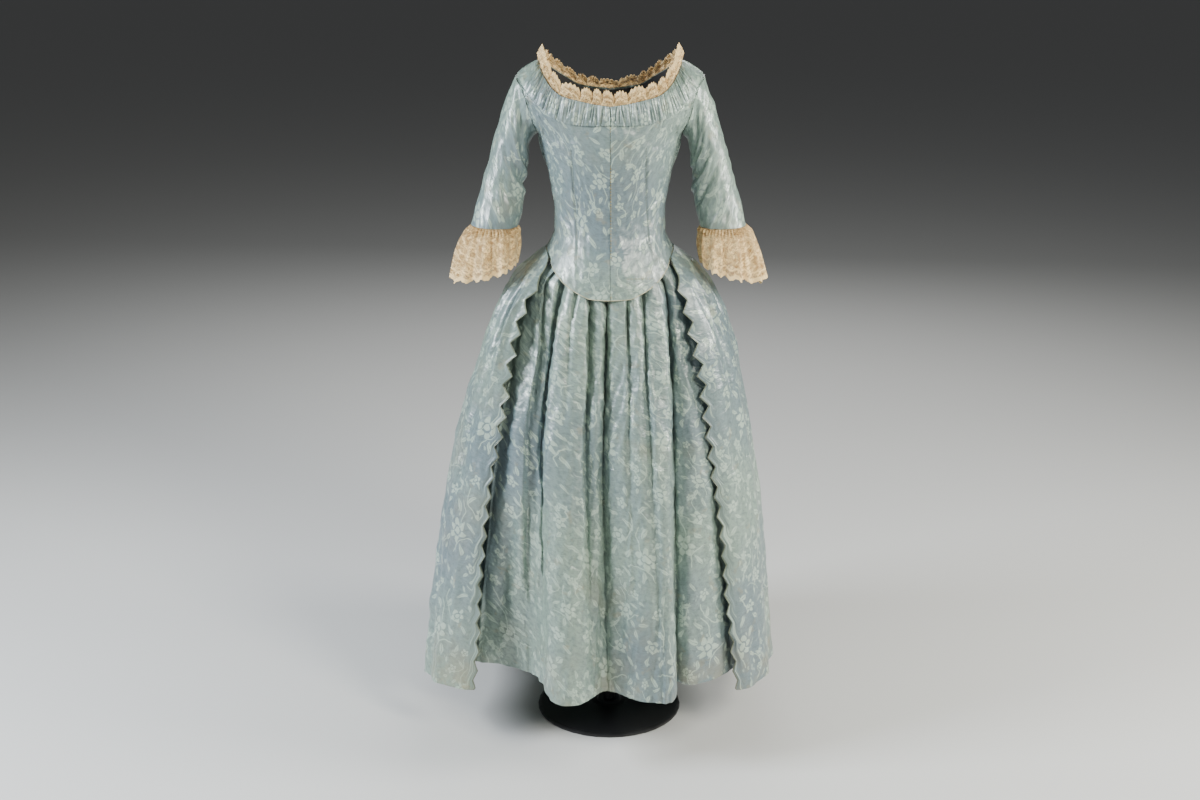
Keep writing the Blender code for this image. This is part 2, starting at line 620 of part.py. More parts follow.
def robe_point(side, along, z):
    """Point of a robe skirt: along is 0 at its front edge, 1 at its widest, and 2 beneath the sack's edge."""
    edge = (look(ROBE, side + "_edge", z), look(ROBE, "edge_y", z))
    widest = (look(ROBE, side, z), look(ROBE, side + "_y", z))
    half = look(SACK, "half_width", z)
    behind = (half + ROBE_SEAM, sack_y(half, z))
    if along <= 1.0:
        x, y = quarter(edge, widest, along)
    else:
        x, y = quarter(widest, behind, along - 1.0, True)
    out = 0.0
    fall = (ROBE["z"][-1] - z) / (ROBE["z"][-1] - ROBE_HEM_Z)
    for i, waist in enumerate(ROBE_FOLDS["waist"]):
        place = waist + (ROBE_FOLDS["hem"][i] - waist) * fall
        height = ROBE_FOLDS["waist_out"][i] + (ROBE_FOLDS["hem_out"][i] - ROBE_FOLDS["waist_out"][i]) * fall
        bell = math.exp(-((along - place) / ROBE_FOLDS["width"][i]) ** 2)
        out -= height * bell * min(1.0, FOLD_RUN_IN * fall)
    if along > FADE_FROM:
        out *= (2.0 - along) / (2.0 - FADE_FROM)
    reach = math.hypot(x, y - PLAN_Y)
    mirror = -1 if side == "right" else 1
    return np.array([mirror * (x + out * x / reach), y + out * (y - PLAN_Y) / reach, z])


def robe_skirt(side):
    """Grid of a robe skirt, with pinked teeth down its front edge."""
    grid = []
    for row in range(ROBE_ROWS + 1):
        line = []
        for along in ROBE_COLUMNS:
            top = look(ROBE_TOP, "z", along)
            z = top + (ROBE_HEM_Z - top) * row / ROBE_ROWS
            line.append(robe_point(side, along, z))
        inward = line[1] - line[0]
        depth = look(TOOTH, "depth", line[0][2])
        if 0 < row < ROBE_ROWS:
            line[0] = line[0] + inward / np.linalg.norm(inward) * depth * (1 if row % 2 else -1)
        grid.append(line)
    return np.array(grid)


def sack_y(x, z):
    """Depth of the sack behind the axis, without its pleats."""
    half = look(SACK, "half_width", z)
    edge = look(SACK, "edge", z)
    if z > WAIST_Z:
        edge = torso_y(half, z, "back") + SACK_LAP
    share = min(1.0, abs(x) / half)
    middle = max(look(SACK, "middle", z), torso_y(0.0, z, "back") + SACK_LAP)
    body = edge + (middle - edge) * (1 - share ** BULGE)
    if z > WAIST_Z:
        body = max(body, torso_y(abs(x), z, "back") + SACK_LAP)
    return body


def sack_back():
    """Grid of the sack back, whose two double box pleats hang free from the neck to the hem."""
    shares = [-share for share in reversed(BOX_PLEATS["share"][1:])] + BOX_PLEATS["share"]
    layers = list(reversed(BOX_PLEATS["layers"][1:])) + BOX_PLEATS["layers"]
    hem_z = SACK["z"][0]
    grid = []
    for rise in SACK_ROWS:
        line = []
        for share, layer in zip(shares, layers):
            neck = look(BACK_NECK, "z", abs(share) * SACK["half_width"][-1])
            z = hem_z + (neck - hem_z) * rise
            x = share * look(SACK, "half_width", z)
            y = sack_y(x, z) + layer * look(SACK, "pleat", z)
            line.append((x, y, z))
        grid.append(line)
    return np.array(grid)


def neckline():
    """Points round the whole neckline: centre front, wearer's left, centre back, and back to the front."""
    half = [(FRONT_TOP["x"][i], FRONT_TOP["z"][i], "front") for i in range(NECK_ROW + 1)]
    behind = range(BACK_NECK_ROW + 1, len(BACK_TOP["x"]))
    half += [(BACK_TOP["x"][i], BACK_TOP["z"][i], "back") for i in behind]
    half += [(x, look(BACK_NECK, "z", x), "back") for x in (0.056, 0.028, 0.0)]
    left = [(x, torso_y(x, z, face), z) for x, z, face in half]
    right = [(-x, y, z) for x, y, z in reversed(left[1:-1])]
    return np.array(left + right)


def resampled(loop, count):
    """Points spread evenly along a closed line."""
    closed = np.vstack([loop, loop[:1]])
    run = np.concatenate([[0.0], np.cumsum(np.linalg.norm(np.diff(closed, axis=0), axis=1))])
    at = np.arange(count) / count * run[-1]
    return np.stack([np.interp(at, run, closed[:, i]) for i in range(3)], axis=1)


def neck_lace():
    """Grid of the gathered lace that stands inside the neckline."""
    base = resampled(neckline(), LACE_COLUMNS)
    ahead = np.roll(base, -1, axis=0) - np.roll(base, 1, axis=0)
    inward = np.stack([-ahead[:, 1], ahead[:, 0], np.zeros(LACE_COLUMNS)], axis=1)
    inward /= np.linalg.norm(inward, axis=1, keepdims=True)
    grid = []
    for rise in LACE_RISES:
        line = []
        for k in range(LACE_COLUMNS):
            height = look(LACE_HEIGHT, "height", abs(base[k][0]))
            if base[k][1] > 0:
                height *= LACE_BACK_SHARE
            turn = 2 * math.pi * LACE_WAVES * k / LACE_COLUMNS
            wave = LACE_WAVE * math.sin(rise * 0.5 * math.pi) * math.cos(turn)
            cluster = 1 - LACE_CLUSTER + LACE_CLUSTER * math.cos(turn / 3)
            lean = SEAM + rise * (LACE_LEAN + wave)
            point = base[k] + inward[k] * lean
            line.append(point + np.array([0.0, 0.0, 1.25 * SEAM + height * cluster * rise]))
        grid.append(line)
    return np.array(grid)


def oval(half, front, back, exponent, angle):
    """Point of a rounded section at an angle from the front."""
    x = half * math.copysign(abs(math.sin(angle)) ** (2 / exponent), math.sin(angle))
    depth = front if math.cos(angle) > 0 else back
    return x, -depth * math.copysign(abs(math.cos(angle)) ** (2 / exponent), math.cos(angle))


def waistband():
    """Grid of the petticoat's waistband, close round the form."""
    grid = []
    for z in (WAIST_Z + 2 * SEAM, WAISTBAND_TOP_Z):
        sizes = [look(FORM, name, z) + WAISTBAND_GAP for name in ("half_width", "front", "back")]
        angles = [2 * math.pi * k / WAISTBAND_COLUMNS for k in range(WAISTBAND_COLUMNS)]
        grid.append([(*oval(*sizes, BULGE, angle), z) for angle in angles])
    return np.array(grid)


def form_section(z, angle):
    """Point of the dress form's surface at a height, and at an angle from the front."""
    if z <= FORM["z"][-1]:
        return oval(look(FORM, "half_width", z), look(FORM, "front", z), look(FORM, "back", z), BULGE, angle)
    inset = SILK + (CHEST_INSET if z > FORM_TOP["z"][0] else FORM_INSET)
    half = look(TORSO, "half_width", z) - inset
    if z > FORM_TOP["z"][0]:
        half = look(FORM_TOP, "half_width", z)
    rise = max(0.0, (z - CHEST_Z) / (SHOULDER_Z - CHEST_Z))
    depths = [look(TORSO, face, z) * math.sqrt(1 - rise * rise) - inset for face in ("front", "back")]
    return oval(half, depths[0], depths[1], BULGE, angle)


def form_rim_z(angle):
    """Height of the form's rim, which stays below the neckline and under the shoulders."""
    x = abs(look(FORM_TOP, "half_width", 1.29) * math.sin(angle))
    if x >= NECK_X:
        line = shoulder_z(x)
    elif math.cos(angle) > 0:
        line = curve(x, FRONT_TOP["x"][:NECK_ROW + 1], FRONT_TOP["z"][:NECK_ROW + 1])
    else:
        line = curve(x, BACK_NECK["x"] + [NECK_X], BACK_NECK["z"] + [SHOULDER_Z])
    return line - look(FORM_RIM, "drop", x)


def form_torso(collection, finish):
    """The limbless form: closed below, and scooped out above to below the neckline."""
    angles = [2 * math.pi * k / FORM_COLUMNS for k in range(FORM_COLUMNS)]
    points = []
    for z in FORM_LEVELS:
        points += [(*form_section(z, angle), z) for angle in angles]
    for rise in FORM_RISES:
        for angle in angles:
            z = FORM_LEVELS[-1] + (form_rim_z(angle) - FORM_LEVELS[-1]) * rise
            points.append((*form_section(z, angle), z))
    rim = points[-FORM_COLUMNS:]
    for share in FORM_SCOOP_SHARES:
        for x, y, z in rim:
            low_z = FORM_SCOOP_Z + (z - FORM_SCOOP_Z) * share ** FORM_SCOOP_BEND
            points.append((x * share, y * share, low_z))
    rings = len(FORM_LEVELS) + len(FORM_RISES) + len(FORM_SCOOP_SHARES)
    faces = grid_faces(rings, FORM_COLUMNS, True)
    bottom, top = len(points), len(points) + 1
    points += [(0.0, 0.0, FORM_BOTTOM_Z), (0.0, 0.0, FORM_SCOOP_Z)]
    last = (rings - 1) * FORM_COLUMNS
    for k in range(FORM_COLUMNS):
        ahead = (k + 1) % FORM_COLUMNS
        faces.append((ahead, k, bottom))
        faces.append((last + k, last + ahead, top))
    return add_mesh(collection, "form_torso", points, faces, finish)


def form_base(collection, finish):
    """The round base with the pole's flange, turned."""
    profile = [(0.0, FLANGE_Z), (0.022, FLANGE_Z), (0.026, 0.0115), (0.034, BASE_THICK + 0.001),
               (BASE_RADIUS - 0.006, BASE_THICK), (BASE_RADIUS - 0.001, 0.0055),
               (BASE_RADIUS, 0.002), (BASE_RADIUS - 0.001, 0.0), (0.0, 0.0)]
    points = [(x, 0.0, z) for x, z in profile]
    mesh = bpy.data.meshes.new("form_base")
    mesh.from_pydata(points, [(i, i + 1) for i in range(len(points) - 1)], [])
    made = bpy.data.objects.new("form_base", mesh)
    made.data.materials.append(finish)
    collection.objects.link(made)
    turn = made.modifiers.new("Turned", "SCREW")
    turn.axis = "Z"
    turn.steps = 36
    turn.render_steps = 36
    turn.use_merge_vertices = True
    turn.merge_threshold = 0.00005
    turn.use_smooth_shade = True
    return made


def form_pole(collection, finish):
    """The pole between the base's flange and the form."""
    low, high = FLANGE_Z + SEAM, FORM_BOTTOM_Z - SEAM
    mesh = bpy.data.meshes.new("form_pole")
    shape = bmesh.new()
    bmesh.ops.create_cone(shape, cap_ends=True, segments=16, radius1=POLE_RADIUS, radius2=POLE_RADIUS,
                          depth=high - low)
    shape.to_mesh(mesh)
    shape.free()
    mesh.shade_smooth()
    mesh.set_sharp_from_angle(angle=math.radians(40))
    made = bpy.data.objects.new("form_pole", mesh)
    made.location = (0.0, 0.0, (low + high) / 2)
    made.data.materials.append(finish)
    collection.objects.link(made)
    return made


def build():
    """Make every piece of the robe, its petticoat and its stand."""
    for old in list(bpy.data.objects):
        bpy.data.objects.remove(old, do_unlink=True)
    collection = bpy.data.collections.new("Robe a la francaise")
    bpy.context.scene.collection.children.link(collection)

    silk = material("Silk damask", (0.42, 0.58, 0.57), 0.38)
    lace = material("Lace", (0.78, 0.62, 0.42), 0.85)
    black = material("Black form", (0.012, 0.012, 0.013), 0.45)
    steel = material("Black steel", (0.015, 0.015, 0.016), 0.35, 0.6)

    form_base(collection, steel)
    form_pole(collection, steel)
    form_torso(collection, black)
    sheet(collection, "petticoat_waistband", waistband(), SILK, silk, closed=True)
    sheet(collection, "petticoat", petticoat(), SILK, silk, closed=True)
    for side, mirror in (("right", -1), ("left", 1)):
        sheet(collection, "bodice_front_" + side, bodice_front(mirror), SILK, silk)
        sheet(collection, "bodice_side_back_" + side, bodice_side_back(mirror), SILK, silk)
        sheet(collection, "neck_band_" + side, neck_band(mirror), SILK, silk)
        sheet(collection, "robe_skirt_" + side, robe_skirt(side), SILK, silk)
        sheet(collection, "sleeve_" + side, sleeve(side), SILK, silk, closed=True)
        sheet(collection, "sleeve_ruffle_" + side, sleeve_ruffle(side), LACE, lace, closed=True)
    sheet(collection, "sack_back", sack_back(), SILK, silk)
    sheet(collection, "neck_lace", neck_lace(), LACE, lace, closed=True)


build()
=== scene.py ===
"""Looks of a robe a la francaise in pale blue-green silk damask, with its petticoat, on a dress form."""
from __future__ import annotations

import bisect
import logging
from dataclasses import dataclass
from enum import Enum
from math import atan2, ceil, copysign, cos, exp, hypot, pi, radians, sin, sqrt
from typing import ClassVar, Sequence

import bpy
import numpy as np
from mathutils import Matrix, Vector

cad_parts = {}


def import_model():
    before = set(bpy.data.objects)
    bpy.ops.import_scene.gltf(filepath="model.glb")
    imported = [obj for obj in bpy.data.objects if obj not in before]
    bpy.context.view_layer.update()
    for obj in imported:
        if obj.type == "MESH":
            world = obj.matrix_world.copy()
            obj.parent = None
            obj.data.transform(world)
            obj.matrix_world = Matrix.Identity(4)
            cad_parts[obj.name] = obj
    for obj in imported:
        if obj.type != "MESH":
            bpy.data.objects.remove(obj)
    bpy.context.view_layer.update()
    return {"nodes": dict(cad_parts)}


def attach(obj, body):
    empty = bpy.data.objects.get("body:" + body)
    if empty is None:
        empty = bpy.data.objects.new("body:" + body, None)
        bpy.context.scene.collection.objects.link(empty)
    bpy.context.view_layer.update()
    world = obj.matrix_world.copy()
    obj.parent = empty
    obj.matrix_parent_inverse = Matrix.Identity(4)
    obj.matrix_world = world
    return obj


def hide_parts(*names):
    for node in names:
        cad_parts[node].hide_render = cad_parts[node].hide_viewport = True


LOG = logging.getLogger("robe")
BODY = "root"

Piece, Material = bpy.types.Object, bpy.types.Material
Socket, Tree = bpy.types.NodeSocket, bpy.types.NodeTree
Triple = tuple[float, float, float]

SILK_THICK = 0.0012
BAND_THICK = 0.8 * SILK_THICK
LACE_THICK = 0.0008
COVER_THICK = 0.0010
SEAM = 0.0004
LAP = 0.0023
SACK_LAP = 0.0065
BULGE = 2.2
PLAN_Y = 0.03
CHEST_Z = 1.235
SHOULDER_Z = 1.340
TIP_X, TIP_Z = 0.176, 1.3133
NECK_X = 0.137
CHEST_FRONT = 0.122
CHEST_BACK = 0.100
WAIST_Z = 0.985
PETTICOAT_HEM_Z = 0.150
ROBE_HEM_Z = 0.120
ROBE_SEAM = 0.0011
CREASE_BOW = 0.12
SMOOTH_ANGLE = 50


class Side(Enum):
    """The wearer's right or left, with the sign of its X."""

    RIGHT = -1
    LEFT = 1

    @property
    def word(self) -> str:
        """The side's name as it stands in the names of the pieces."""
        return self.name.lower()


class Held(Enum):
    """How a sheet of cloth is held."""

    DRAPED = "draped"
    HUNG = "hung"
    GATHERED = "gathered"


@dataclass(frozen=True)
class Table:
    """A short table with named columns, whose first column rises.

    Attributes:
        names: The columns' names, parted by spaces.
        rows: The rows, a value for each column.
    """

    names: str
    rows: tuple[tuple[float, ...], ...]

    def at(self, name: str, value: float) -> float:
        """Give the smooth value of a column at a value of the first one, level outside the table."""
        index = self.names.split().index(name)
        return smooth_curve(value, [row[0] for row in self.rows], [row[index] for row in self.rows])


def smooth_curve(at: float, stations: Sequence[float], values: Sequence[float]) -> float:
    """Give a smooth curve through points, which never overshoots them.

    Args:
        at: Where to read the curve.
        stations: The points' places, rising.
        values: The points' heights.

    Returns:
        The curve's height.
    """
    if at <= stations[0]:
        return values[0]
    if at >= stations[-1]:
        return values[-1]
    slopes = [(values[i + 1] - values[i]) / (stations[i + 1] - stations[i]) for i in range(len(values) - 1)]

    def tangent(i: int) -> float:
        """Slope of the curve at a point."""
        before, after = slopes[max(i - 1, 0)], slopes[min(i, len(slopes) - 1)]
        return 0.0 if before * after <= 0 else 2 * before * after / (before + after)

    i = bisect.bisect_right(stations, at) - 1
    span = stations[i + 1] - stations[i]
    s = (at - stations[i]) / span
    return (values[i] * (1 + 2 * s) * (1 - s) ** 2 + tangent(i) * span * s * (1 - s) ** 2
            + values[i + 1] * s * s * (3 - 2 * s) + tangent(i + 1) * span * s * s * (s - 1))


def spline(points: Sequence[np.ndarray], at: float) -> np.ndarray:
    """Give a point of a rounded curve through points.

    Args:
        points: The points that the curve passes.
        at: The place on the curve, which counts the points from 0.

    Returns:
        The point there.
    """
    last = len(points) - 1
    i = min(int(at), last - 1)
    s = at - i
    a, b = points[max(i - 1, 0)], points[i]
    c, d = points[i + 1], points[min(i + 2, last)]
    return 0.5 * (2 * b + (c - a) * s + (2 * a - 5 * b + 4 * c - d) * s * s
                  + (3 * b - a - 3 * c + d) * s ** 3)


CREASE = "across up length width height turn"


@dataclass
class ClothGrid:
    """A sheet of cloth as a grid of points on its outside.

    Attributes:
        points: The points, by row, column and axis.
        closed: Whether each row is a closed round.
    """

    points: np.ndarray
    closed: bool = False

    def normals(self) -> np.ndarray:
        """Give the unit normal at each point, pointing away from the wearer."""
        grid = self.points
        if self.closed:
            across = np.roll(grid, -1, axis=1) - np.roll(grid, 1, axis=1)
            inside = np.repeat(grid.mean(axis=1, keepdims=True), grid.shape[1], axis=1)
        else:
            across = np.gradient(grid, axis=1)
            inside = np.zeros_like(grid)
            inside[..., 1] = PLAN_Y / 2
            inside[..., 2] = grid[..., 2] - 0.02
        normals = np.cross(across, np.gradient(grid, axis=0))
        normals /= np.maximum(np.linalg.norm(normals, axis=2, keepdims=True), 1e-9)
        return normals if np.sum(normals * (grid - inside)) > 0 else -normals

    def moved_out(self, distance: np.ndarray | float) -> ClothGrid:
        """Move each point out along its normal.

        Args:
            distance: How far, one value or one for each point.

        Returns:
            The moved grid.
        """
        out = np.asarray(distance)
        if out.ndim == 2:
            out = out[..., None]
        return ClothGrid(self.points + self.normals() * out, self.closed)

    def lengths(self) -> tuple[np.ndarray, np.ndarray]:
        """Give each point's run along its row and up its column, in metres."""
        grid = self.points
        along = np.linalg.norm(np.diff(grid, axis=1), axis=2)
        up = np.linalg.norm(np.diff(grid, axis=0), axis=2)
        row_run = np.concatenate([np.zeros((grid.shape[0], 1)), np.cumsum(along, axis=1)], axis=1)
        column_run = np.concatenate([np.zeros((1, grid.shape[1])), np.cumsum(up, axis=0)], axis=0)
        return row_run, column_run

    def creased(self, creases: Table, deeper: float = 1.0) -> ClothGrid:
        """Give the cloth its creases.

        Args:
            creases: Its troughs and ridges: place of the middle across and up, in percent; length, width and
                height (below 0 for a trough), in millimetres; and turn from a row, in degrees.
            deeper: How much stronger they come out.

        Returns:
            The creased grid.
        """
        row_run, column_run = self.lengths()
        rows, columns = row_run.shape
        out = np.zeros((rows, columns))
        for crease in creases.rows:
            across, up = (share / 100 for share in crease[:2])
            length, width, height = (size / 1000 for size in crease[2:5])
            turn = radians(crease[5])
            r, c = round(up * (rows - 1)), round(across * (columns - 1))
            dx, dy = row_run - row_run[r, c], column_run - column_run[r, c]
            along = dx * cos(turn) + dy * sin(turn)
            beside = -dx * sin(turn) + dy * cos(turn)
            bow = beside - CREASE_BOW * along * along / length
            out += deeper * height * np.exp(-(along / (0.5 * length)) ** 2 - (bow / width) ** 2)
        return self.moved_out(out)

    def crumpled(self, seed: int, depth: float, size: float, stretch: float = 1.0) -> ClothGrid:
        """Give the cloth an uneven, lively surface.

        Args:
            seed: Chooses the pattern.
            depth: How far the surface moves, in metres.
            size: The usual distance between two high places, in metres.
            stretch: How much longer the forms are up the cloth than across it.

        Returns:
            The crumpled grid.
        """
        rng = np.random.default_rng(seed)
        row_run, column_run = self.lengths()
        if self.closed:
            turn = 2 * pi * np.arange(row_run.shape[1]) / row_run.shape[1]
            reach = row_run[:, -1:] / (2 * pi)
            places = (reach * np.cos(turn), reach * np.sin(turn), column_run / stretch)
        else:
            places = (row_run, 0 * row_run, column_run / stretch)
        out = np.zeros_like(row_run)
        waves = 22
        for _ in range(waves):
            way = rng.normal(size=3)
            way *= rng.uniform(0.5, 1.7) * 2 * pi / size / np.linalg.norm(way)
            phase = rng.uniform(0, 2 * pi)
            out += np.sin(way[0] * places[0] + way[1] * places[1] + way[2] * places[2] + phase)
        return self.moved_out(depth * out / sqrt(waves))


def deselect() -> None:
    """Leave nothing selected."""
    bpy.ops.object.select_all(action="DESELECT")


def make_active(piece: Piece) -> None:
    """Select one object alone and make it the active one."""
    deselect()
    piece.select_set(True)
    bpy.context.view_layer.objects.active = piece


def settle(piece: Piece) -> None:
    """Put an object's place, turn and size into its mesh."""
    make_active(piece)
    bpy.ops.object.transform_apply(location=True, rotation=True, scale=True)
    deselect()


def cloth_mesh(name: str, grid: ClothGrid, start: tuple[float, float]) -> bpy.types.Mesh:
    """Make the mesh of a cloth's outside, with maps of its pattern and of its distance from the edges.

    Args:
        name: The mesh's name.
        grid: The cloth's outside.
        start: Where the cloth's corner lies on the woven pattern.

    Returns:
        The mesh.
    """
    points = grid.points
    rows, columns, _ = points.shape
    last = columns if grid.closed else columns - 1
    faces = [(r * columns + c, r * columns + (c + 1) % columns,
              (r + 1) * columns + (c + 1) % columns, (r + 1) * columns + c)
             for r in range(rows - 1) for c in range(last)]
    row, column = (rows - 1) // 2, last // 2
    corner = points[row, column]
    across, up = points[row, (column + 1) % columns] - corner, points[row + 1, column] - corner
    turned = np.dot(np.cross(across, up), grid.normals()[row, column]) < 0
    if turned:
        faces = [face[::-1] for face in faces]
    mesh = bpy.data.meshes.new(name)
    mesh.from_pydata(points.reshape(-1, 3).tolist(), [], faces)
    row_run, column_run = grid.lengths()
    width, height = row_run[:, -1:], column_run[-1:]
    run, rise = row_run - width / 2 + start[0], column_run + start[1]
    from_edge, from_hem = np.minimum(row_run, width - row_run), np.minimum(column_run, height - column_run)
    if grid.closed:
        from_edge, from_hem = np.ones_like(row_run), height - column_run
        run = np.hstack([run, run[:, -1:] + width / (columns - 1)])
        rise, from_edge, from_hem = (np.hstack([each, each[:, :1]]) for each in (rise, from_edge, from_hem))
    for label, across_and_up in (("Cloth", (run, rise)), ("Edge", (from_edge, from_hem))):
        both = np.stack(across_and_up, axis=2)
        corners = np.stack([both[:-1, :-1], both[:-1, 1:], both[1:, 1:], both[1:, :-1]], axis=2)
        if turned:
            corners = corners[:, :, ::-1]
        mesh.uv_layers.new(name=label).data.foreach_set("uv", corners.reshape(-1))
    mesh.update()
    return mesh


def sewn(name: str, grid: ClothGrid, finish: Material, nodes: Sequence[str],
         thick: float = SILK_THICK,
         start: tuple[float, float] = (0.0, 0.0)) -> Piece:
    """Make a sheet of cloth with its thickness, lay it on the woven pattern, and hide the plain solids that
    it stands for.

    Args:
        name: The piece's name.
        grid: The cloth's outside.
        finish: The material.
        nodes: The plain solids that it stands for, none for a piece that only the scene has.
        thick: The thickness, which lies within.
        start: Where the cloth's corner lies on the woven pattern.

    Returns:
        The piece.
    """
    piece = bpy.data.objects.new(name, cloth_mesh(name, grid, start))
    bpy.context.scene.collection.objects.link(piece)
    piece.data.materials.append(finish)
    make_active(piece)
    wall = piece.modifiers.new("Wall", "SOLIDIFY")
    wall.thickness = thick
    wall.offset = -1.0
    bpy.ops.object.modifier_apply(modifier=wall.name)
    bpy.ops.object.shade_smooth_by_angle(angle=radians(SMOOTH_ANGLE))
    deselect()
    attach(piece, BODY)
    if nodes:
        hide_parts(*nodes)
    return piece


@dataclass(frozen=True)
class Torso:
    """Outside of the fitted bodice, which every piece on it follows.

    Attributes:
        sizes: Half width, and depths before and behind the axis, by height.
        upper: Half width between the armholes, by height.
        hem: Lower edge, from the centre front to the side seam.
        front_top: Neckline, shoulder seam and armhole of a front.
        back_top: Armhole, shoulder and neckline of a side back.
        back_neck: Height of the back neckline.
    """

    sizes: Table = Table(
        "z half_width front back", (
            (0.9, 0.168, 0.148, 0.108), (0.95, 0.143, 0.14, 0.098), (0.985, 0.1235, 0.127, 0.088),
            (1.02, 0.1075, 0.112, 0.083), (1.06, 0.107, 0.109, 0.086), (1.1, 0.1125, 0.112, 0.092),
            (1.14, 0.12, 0.118, 0.097), (1.18, 0.1305, 0.1235, 0.101), (1.205, 0.137, 0.1245, 0.102),
            (1.235, 0.164, CHEST_FRONT, CHEST_BACK), (1.26, 0.18, CHEST_FRONT, CHEST_BACK),
            (1.29, 0.197, CHEST_FRONT, CHEST_BACK), (1.34, 0.22, CHEST_FRONT, CHEST_BACK),
        ))
    upper: Table = Table("z half_width", ((1.205, 0.137), (1.290, 0.150)))
    hem: Table = Table(
        "share z", (
            (0.0, 0.909), (0.22, 0.911), (0.36, 0.919), (0.55, 0.934), (0.77, 0.958), (0.93, 0.98),
            (1.0, 0.987),
        ))
    front_top: Table = Table(
        "hem_share x z bend", (
            (0.0, 0.0, 1.264, 1.2), (0.1, 0.03, 1.268, 1.2), (0.2, 0.06, 1.274, 1.2),
            (0.31, 0.09, 1.282, 1.2), (0.4, 0.11, 1.297, 1.2), (0.48, 0.1255, 1.319, 1.2),
            (0.55, NECK_X, SHOULDER_Z, 1.3), (0.63, TIP_X, TIP_Z, 2.0), (0.7, 0.168, 1.298, 2.5),
            (0.8, 0.156, 1.27, 2.5), (0.88, 0.148, 1.24, 4.0), (0.94, 0.14, 1.216, 10.0),
            (1.0, 0.137, 1.205, 1.0),
        ))
    back_top: Table = Table(
        "order x z hem_share bend", (
            (0, 0.137, 1.205, 1.0, 1.0), (1, 0.14, 1.216, 0.94, 10.0), (2, 0.147, 1.24, 0.91, 4.0),
            (3, 0.155, 1.27, 0.88, 2.5), (4, 0.167, 1.298, 0.85, 2.5), (5, TIP_X, TIP_Z, 0.82, 2.6),
            (6, NECK_X, SHOULDER_Z, 0.78, 1.3), (7, 0.12, 1.328, 0.75, 1.2), (8, 0.103, 1.316, 0.72, 1.2),
            (9, 0.085, 1.304, 0.69, 1.2),
        ))
    back_neck: Table = Table("x z", ((0.0, 1.279), (0.056, 1.287), (0.085, 1.304), (0.103, 1.316)))
    bend_z: float = 1.14
    neck_share: float = 0.55
    tip_share: float = 0.63
    tip_order: int = 5
    neck_order: int = 6

    def shoulder_z(self, x: float) -> float:
        """Give the height of the shoulder line at an X, level to the neck and falling to the tip."""
        fall = (abs(x) - NECK_X) / (TIP_X - NECK_X)
        return SHOULDER_Z - max(0.0, fall) * (SHOULDER_Z - TIP_Z)

    def depth(self, x: float, z: float, face: str) -> float:
        """Give the Y of the bodice's outside at a place of its front or back.

        Args:
            x: The place across.
            z: The height.
            face: "front" or "back".

        Returns:
            The Y.
        """
        level = z
        if z > CHEST_Z:
            level = CHEST_Z + (z - CHEST_Z) * (SHOULDER_Z - CHEST_Z) / (self.shoulder_z(x) - CHEST_Z)
        rise = min(1.0, max(0.0, (level - CHEST_Z) / (SHOULDER_Z - CHEST_Z)))
        deep = self.sizes.at(face, level) * sqrt(1.0 - rise * rise)
        share = min(1.0, abs(x) / self.sizes.at("half_width", level))
        out = deep * max(0.0, 1.0 - share ** BULGE) ** (1.0 / BULGE) + SEAM
        return -out if face == "front" else out

    def column(self, start: tuple[float, float], top: tuple[float, float], bend: float, face: str,
               rows: int, side: Side) -> list[Triple]:
        """Give the points up the bodice from its hem to a point of its upper edge.

        Args:
            start: Share of the half width at the hem, and the hem's height there.
            top: X and Z of the upper end.
            bend: How late the column bends towards its end.
            face: "front" or "back".
            rows: Number of steps.
            side: The wearer's side.

        Returns:
            The points, from the hem up.
        """
        points = []
        for row in range(rows + 1):
            z = start[1] + (top[1] - start[1]) * sin(0.5 * pi * row / rows)
            widths = self.sizes if z < self.upper.rows[0][0] else self.upper
            x = start[0] * widths.at("half_width", z)
            x += (top[0] - x) * (max(0.0, z - self.bend_z) / (top[1] - self.bend_z)) ** bend
            points.append((side.value * max(x, SEAM), self.depth(x, z, face), z))
        return points

    def edge(self, face: str, at: float) -> tuple[float, float, str]:
        """Give the X and Z of a place on the upper edge of a front or back, and the face."""
        top = self.front_top if face == "front" else self.back_top
        return top.at("x", at), top.at("z", at), face

    def armhole(self, side: Side, per_half: int) -> np.ndarray:
        """Give the points round an armhole, from the tip down the front and up the back.

        Args:
            side: The wearer's side.
            per_half: Number of steps down the front, and up the back.

        Returns:
            The points, by place and axis.
        """
        line = [self.edge("front", self.tip_share + (1.0 - self.tip_share) * k / per_half)
                for k in range(per_half)]
        line += [self.edge("back", self.tip_order * k / per_half) for k in range(per_half)]
        return np.array([(side.value * x, self.depth(x, z, face), z) for x, z, face in line])

    def neckline(self, count: int) -> tuple[np.ndarray, np.ndarray]:
        """Give points spread evenly round the whole neckline, from the centre front by the wearer's left.

        Args:
            count: Number of points.

        Returns:
            The points, and the level direction inward at each, both by place and axis.
        """
        steps = 60
        half = [self.edge("front", self.neck_share * k / steps) for k in range(steps + 1)]
        over = self.back_top.rows[-1][0] - self.neck_order
        half += [self.edge("back", self.neck_order + over * k / steps) for k in range(1, steps + 1)]
        inner = self.back_top.rows[-1][1]
        behind = [inner * (1 - k / steps) for k in range(1, steps + 1)]
        half += [(x, self.back_neck.at("z", x), "back") for x in behind]
        left = [(x, self.depth(x, z, face), z) for x, z, face in half]
        loop = np.array(left + [(-x, y, z) for x, y, z in reversed(left[1:])])
        run = np.concatenate([[0.0], np.cumsum(np.linalg.norm(np.diff(loop, axis=0), axis=1))])
        at = np.arange(count) / count * run[-1]
        points = np.stack([np.interp(at, run, loop[:, i]) for i in range(3)], axis=1)
        ahead = np.roll(points, -1, axis=0) - np.roll(points, 1, axis=0)
        inward = np.stack([-ahead[:, 1], ahead[:, 0], np.zeros(count)], axis=1)
        return points, inward / np.linalg.norm(inward, axis=1, keepdims=True)


